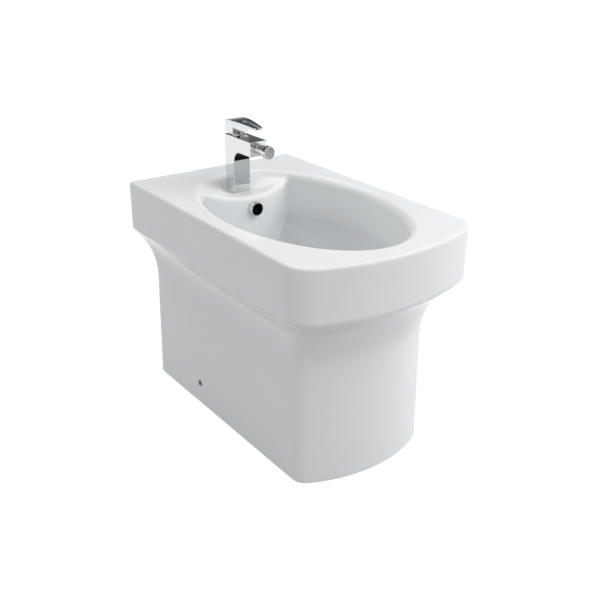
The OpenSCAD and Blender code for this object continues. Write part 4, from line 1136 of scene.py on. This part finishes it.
def make_spring():
    # drawn wire wound in five turns over the CAD spring's height; the real one
    # shortens as the plug goes down on it
    low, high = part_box("plug_spring")
    coil_r, wire_r, turns, steps, sides, travel = 3.2, 0.5, 5, 28, 12, 8.0
    bottom, top = low[2] / MM + wire_r, high[2] / MM - wire_r
    count = turns * steps
    points = []
    for i in range(count + 1):
        turn = 2 * math.pi * i / steps
        for j in range(sides):
            round_wire = 2 * math.pi * j / sides
            r = coil_r + wire_r * math.cos(round_wire)
            z = bottom + (top - bottom) * i / count + wire_r * math.sin(round_wire)
            points.append((r * math.cos(turn), DRAIN_Y + r * math.sin(turn), z))
    faces = []
    for i in range(0, count * sides, sides):
        for j in range(sides):
            a, b = i + j, i + (j + 1) % sides
            faces.append((a, b, b + sides, a + sides))
    faces += [tuple(range(sides)), tuple(range(count * sides, (count + 1) * sides))]
    piece = mesh_piece("plug_return_spring", points, faces, FINISH["spring_steel"])
    clean(piece)
    shaded(piece)
    stand_for(piece, "plug_spring")
    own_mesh(piece)


make_spring()

# ---------------------------------------------------------------- studio

# The camera stands where the photograph's stood, found from the rim, the pedestal,
# the bowl and the tap.
FOCAL_PX, IMAGE_PX = 850.97, 600
EYE = Vector((-834.0, -1127.0, 877.3)) * MM
LOOK = Vector((0.54356, 0.72795, -0.41789)).normalized()
ROLL = math.radians(0.749)

level = LOOK.cross(Vector((0, 0, 1))).normalized()
plumb = level.cross(LOOK)
right = level * math.cos(ROLL) + plumb * math.sin(ROLL)
up = plumb * math.cos(ROLL) - level * math.sin(ROLL)
lens = bpy.data.cameras.new("camera")
lens.sensor_fit = "HORIZONTAL"
lens.sensor_width = 36.0
lens.lens = FOCAL_PX / IMAGE_PX * lens.sensor_width
lens.clip_start = 0.05
lens.clip_end = 60.0
camera = in_scene("camera", lens)
turn = Matrix((right, up, -LOOK)).transposed().to_4x4()
camera.matrix_world = Matrix.Translation(EYE) @ turn
bpy.context.scene.camera = camera

# Four softboxes light the china only: their mirror images come from the room's walls.
CENTRE = Vector((0, 0, 0.30))
LAMP_DISTANCE = 2.4
for name, direction, size, watts in (
    ("key softbox", (0.82, -0.28, 0.5), 1.3, 26.5),
    ("left softbox", (-0.85, -0.15, 0.6), 1.6, 5.5),
    ("front overhead softbox", (0.25, -0.65, 0.72), 1.6, 18.0),
    ("rear overhead softbox", (0.0, 0.65, 0.76), 1.6, 18.5),
):
    lamp = bpy.data.lights.new(name, "AREA")
    lamp.shape = "SQUARE"
    lamp.size = size
    lamp.energy = watts
    away = Vector(direction).normalized()
    box = in_scene(name, lamp)
    box.location = CENTRE + away * LAMP_DISTANCE
    box.rotation_euler = (-away).to_track_quat("-Z", "Y").to_euler()
    box.visible_glossy = False


def make_floor():
    # seamless paper: it glows white to the lens and to mirrors, and a small share of
    # plain diffuse paper keeps the shadow faint
    material = bpy.data.materials.new("white backdrop paper")
    material.use_nodes = True
    tree = material.node_tree
    tree.nodes.clear()
    ray = add(tree, "ShaderNodeLightPath").outputs
    paper = add(tree, "ShaderNodeBsdfDiffuse", {"Color": linear("#BCBCBC")})
    glow = add(tree, "ShaderNodeEmission", {"Color": (1, 1, 1, 1), "Strength": 1.14})
    seen = add(
        tree,
        "ShaderNodeMath",
        {"operation": "MAXIMUM"},
        input0=ray["Is Camera Ray"],
        input1=ray["Is Glossy Ray"],
    )
    share = add(
        tree, "ShaderNodeMath", {"operation": "MULTIPLY", 1: 0.85}, input0=seen.outputs[0]
    )
    mix = add(
        tree,
        "ShaderNodeMixShader",
        input0=share.outputs[0],
        input1=paper.outputs[0],
        input2=glow.outputs[0],
    )
    add(tree, "ShaderNodeOutputMaterial", Surface=mix.outputs[0])
    far, drop = 30000, -0.1
    corners = [(-far, -far, drop), (far, -far, drop), (far, far, drop), (-far, far, drop)]
    mesh_piece("backdrop_floor", corners, [(0, 1, 2, 3)], material)


make_floor()


def make_room():
    # plain white to the lens, even light on the china, and to mirrors a studio: a grey
    # foot, a dark wall, over it in the rear a strip light, and a pale ceiling
    world = bpy.data.worlds.new("studio")
    bpy.context.scene.world = world
    world.use_nodes = True
    tree = world.node_tree
    tree.nodes.clear()
    ray = add(tree, "ShaderNodeLightPath").outputs
    toward = add(tree, "ShaderNodeTexCoord").outputs["Generated"]
    toward = add(tree, "ShaderNodeSeparateXYZ", Vector=toward).outputs
    to_front = add(
        tree, "ShaderNodeMapRange", {"From Min": 0.35, "From Max": -0.25}, Value=toward["Y"]
    )
    # greys up each wall, from the horizon at 0 to straight overhead at 1
    horizon, foot, strip, ceiling = 0.22, 0.12, 0.35, 0.12
    ramps = []
    for dark, bright in ((0.018, strip), (0.055, ceiling)):
        ramp = add(tree, "ShaderNodeValToRGB", Fac=toward["Z"])
        ramps.append(ramp.outputs["Color"])
        stops = ramp.color_ramp.elements
        stops[0].position, stops[0].color = 0.0, (horizon, horizon, horizon, 1)
        stops[1].position, stops[1].color = 1.0, (ceiling, ceiling, ceiling, 1)
        for height, grey in (
            (0.12, foot), (0.26, dark), (0.61, dark), (0.65, bright), (0.74, bright),
            (0.79, ceiling),
        ):
            stops.new(height).color = (grey, grey * 1.02, grey * 1.02, 1)
    walls = add(
        tree,
        "ShaderNodeMix",
        {"data_type": "RGBA"},
        input0=to_front.outputs["Result"],
        input6=ramps[0],
        input7=ramps[1],
    )
    mirrored = add(tree, "ShaderNodeBackground", {"Strength": 4.0}, Color=walls.outputs[2])
    even = add(tree, "ShaderNodeBackground", {"Color": (1, 1, 1, 1), "Strength": 0.53})
    plain = add(tree, "ShaderNodeBackground", {"Color": (1, 1, 1, 1), "Strength": 1.04})
    shown = even.outputs[0]
    for kind, light in (("Is Glossy Ray", mirrored), ("Is Camera Ray", plain)):
        shown = add(
            tree,
            "ShaderNodeMixShader",
            input0=ray[kind],
            input1=shown,
            input2=light.outputs[0],
        ).outputs[0]
    add(tree, "ShaderNodeOutputWorld", Surface=shown)


make_room()

bpy.context.scene.view_settings.view_transform = "Standard"
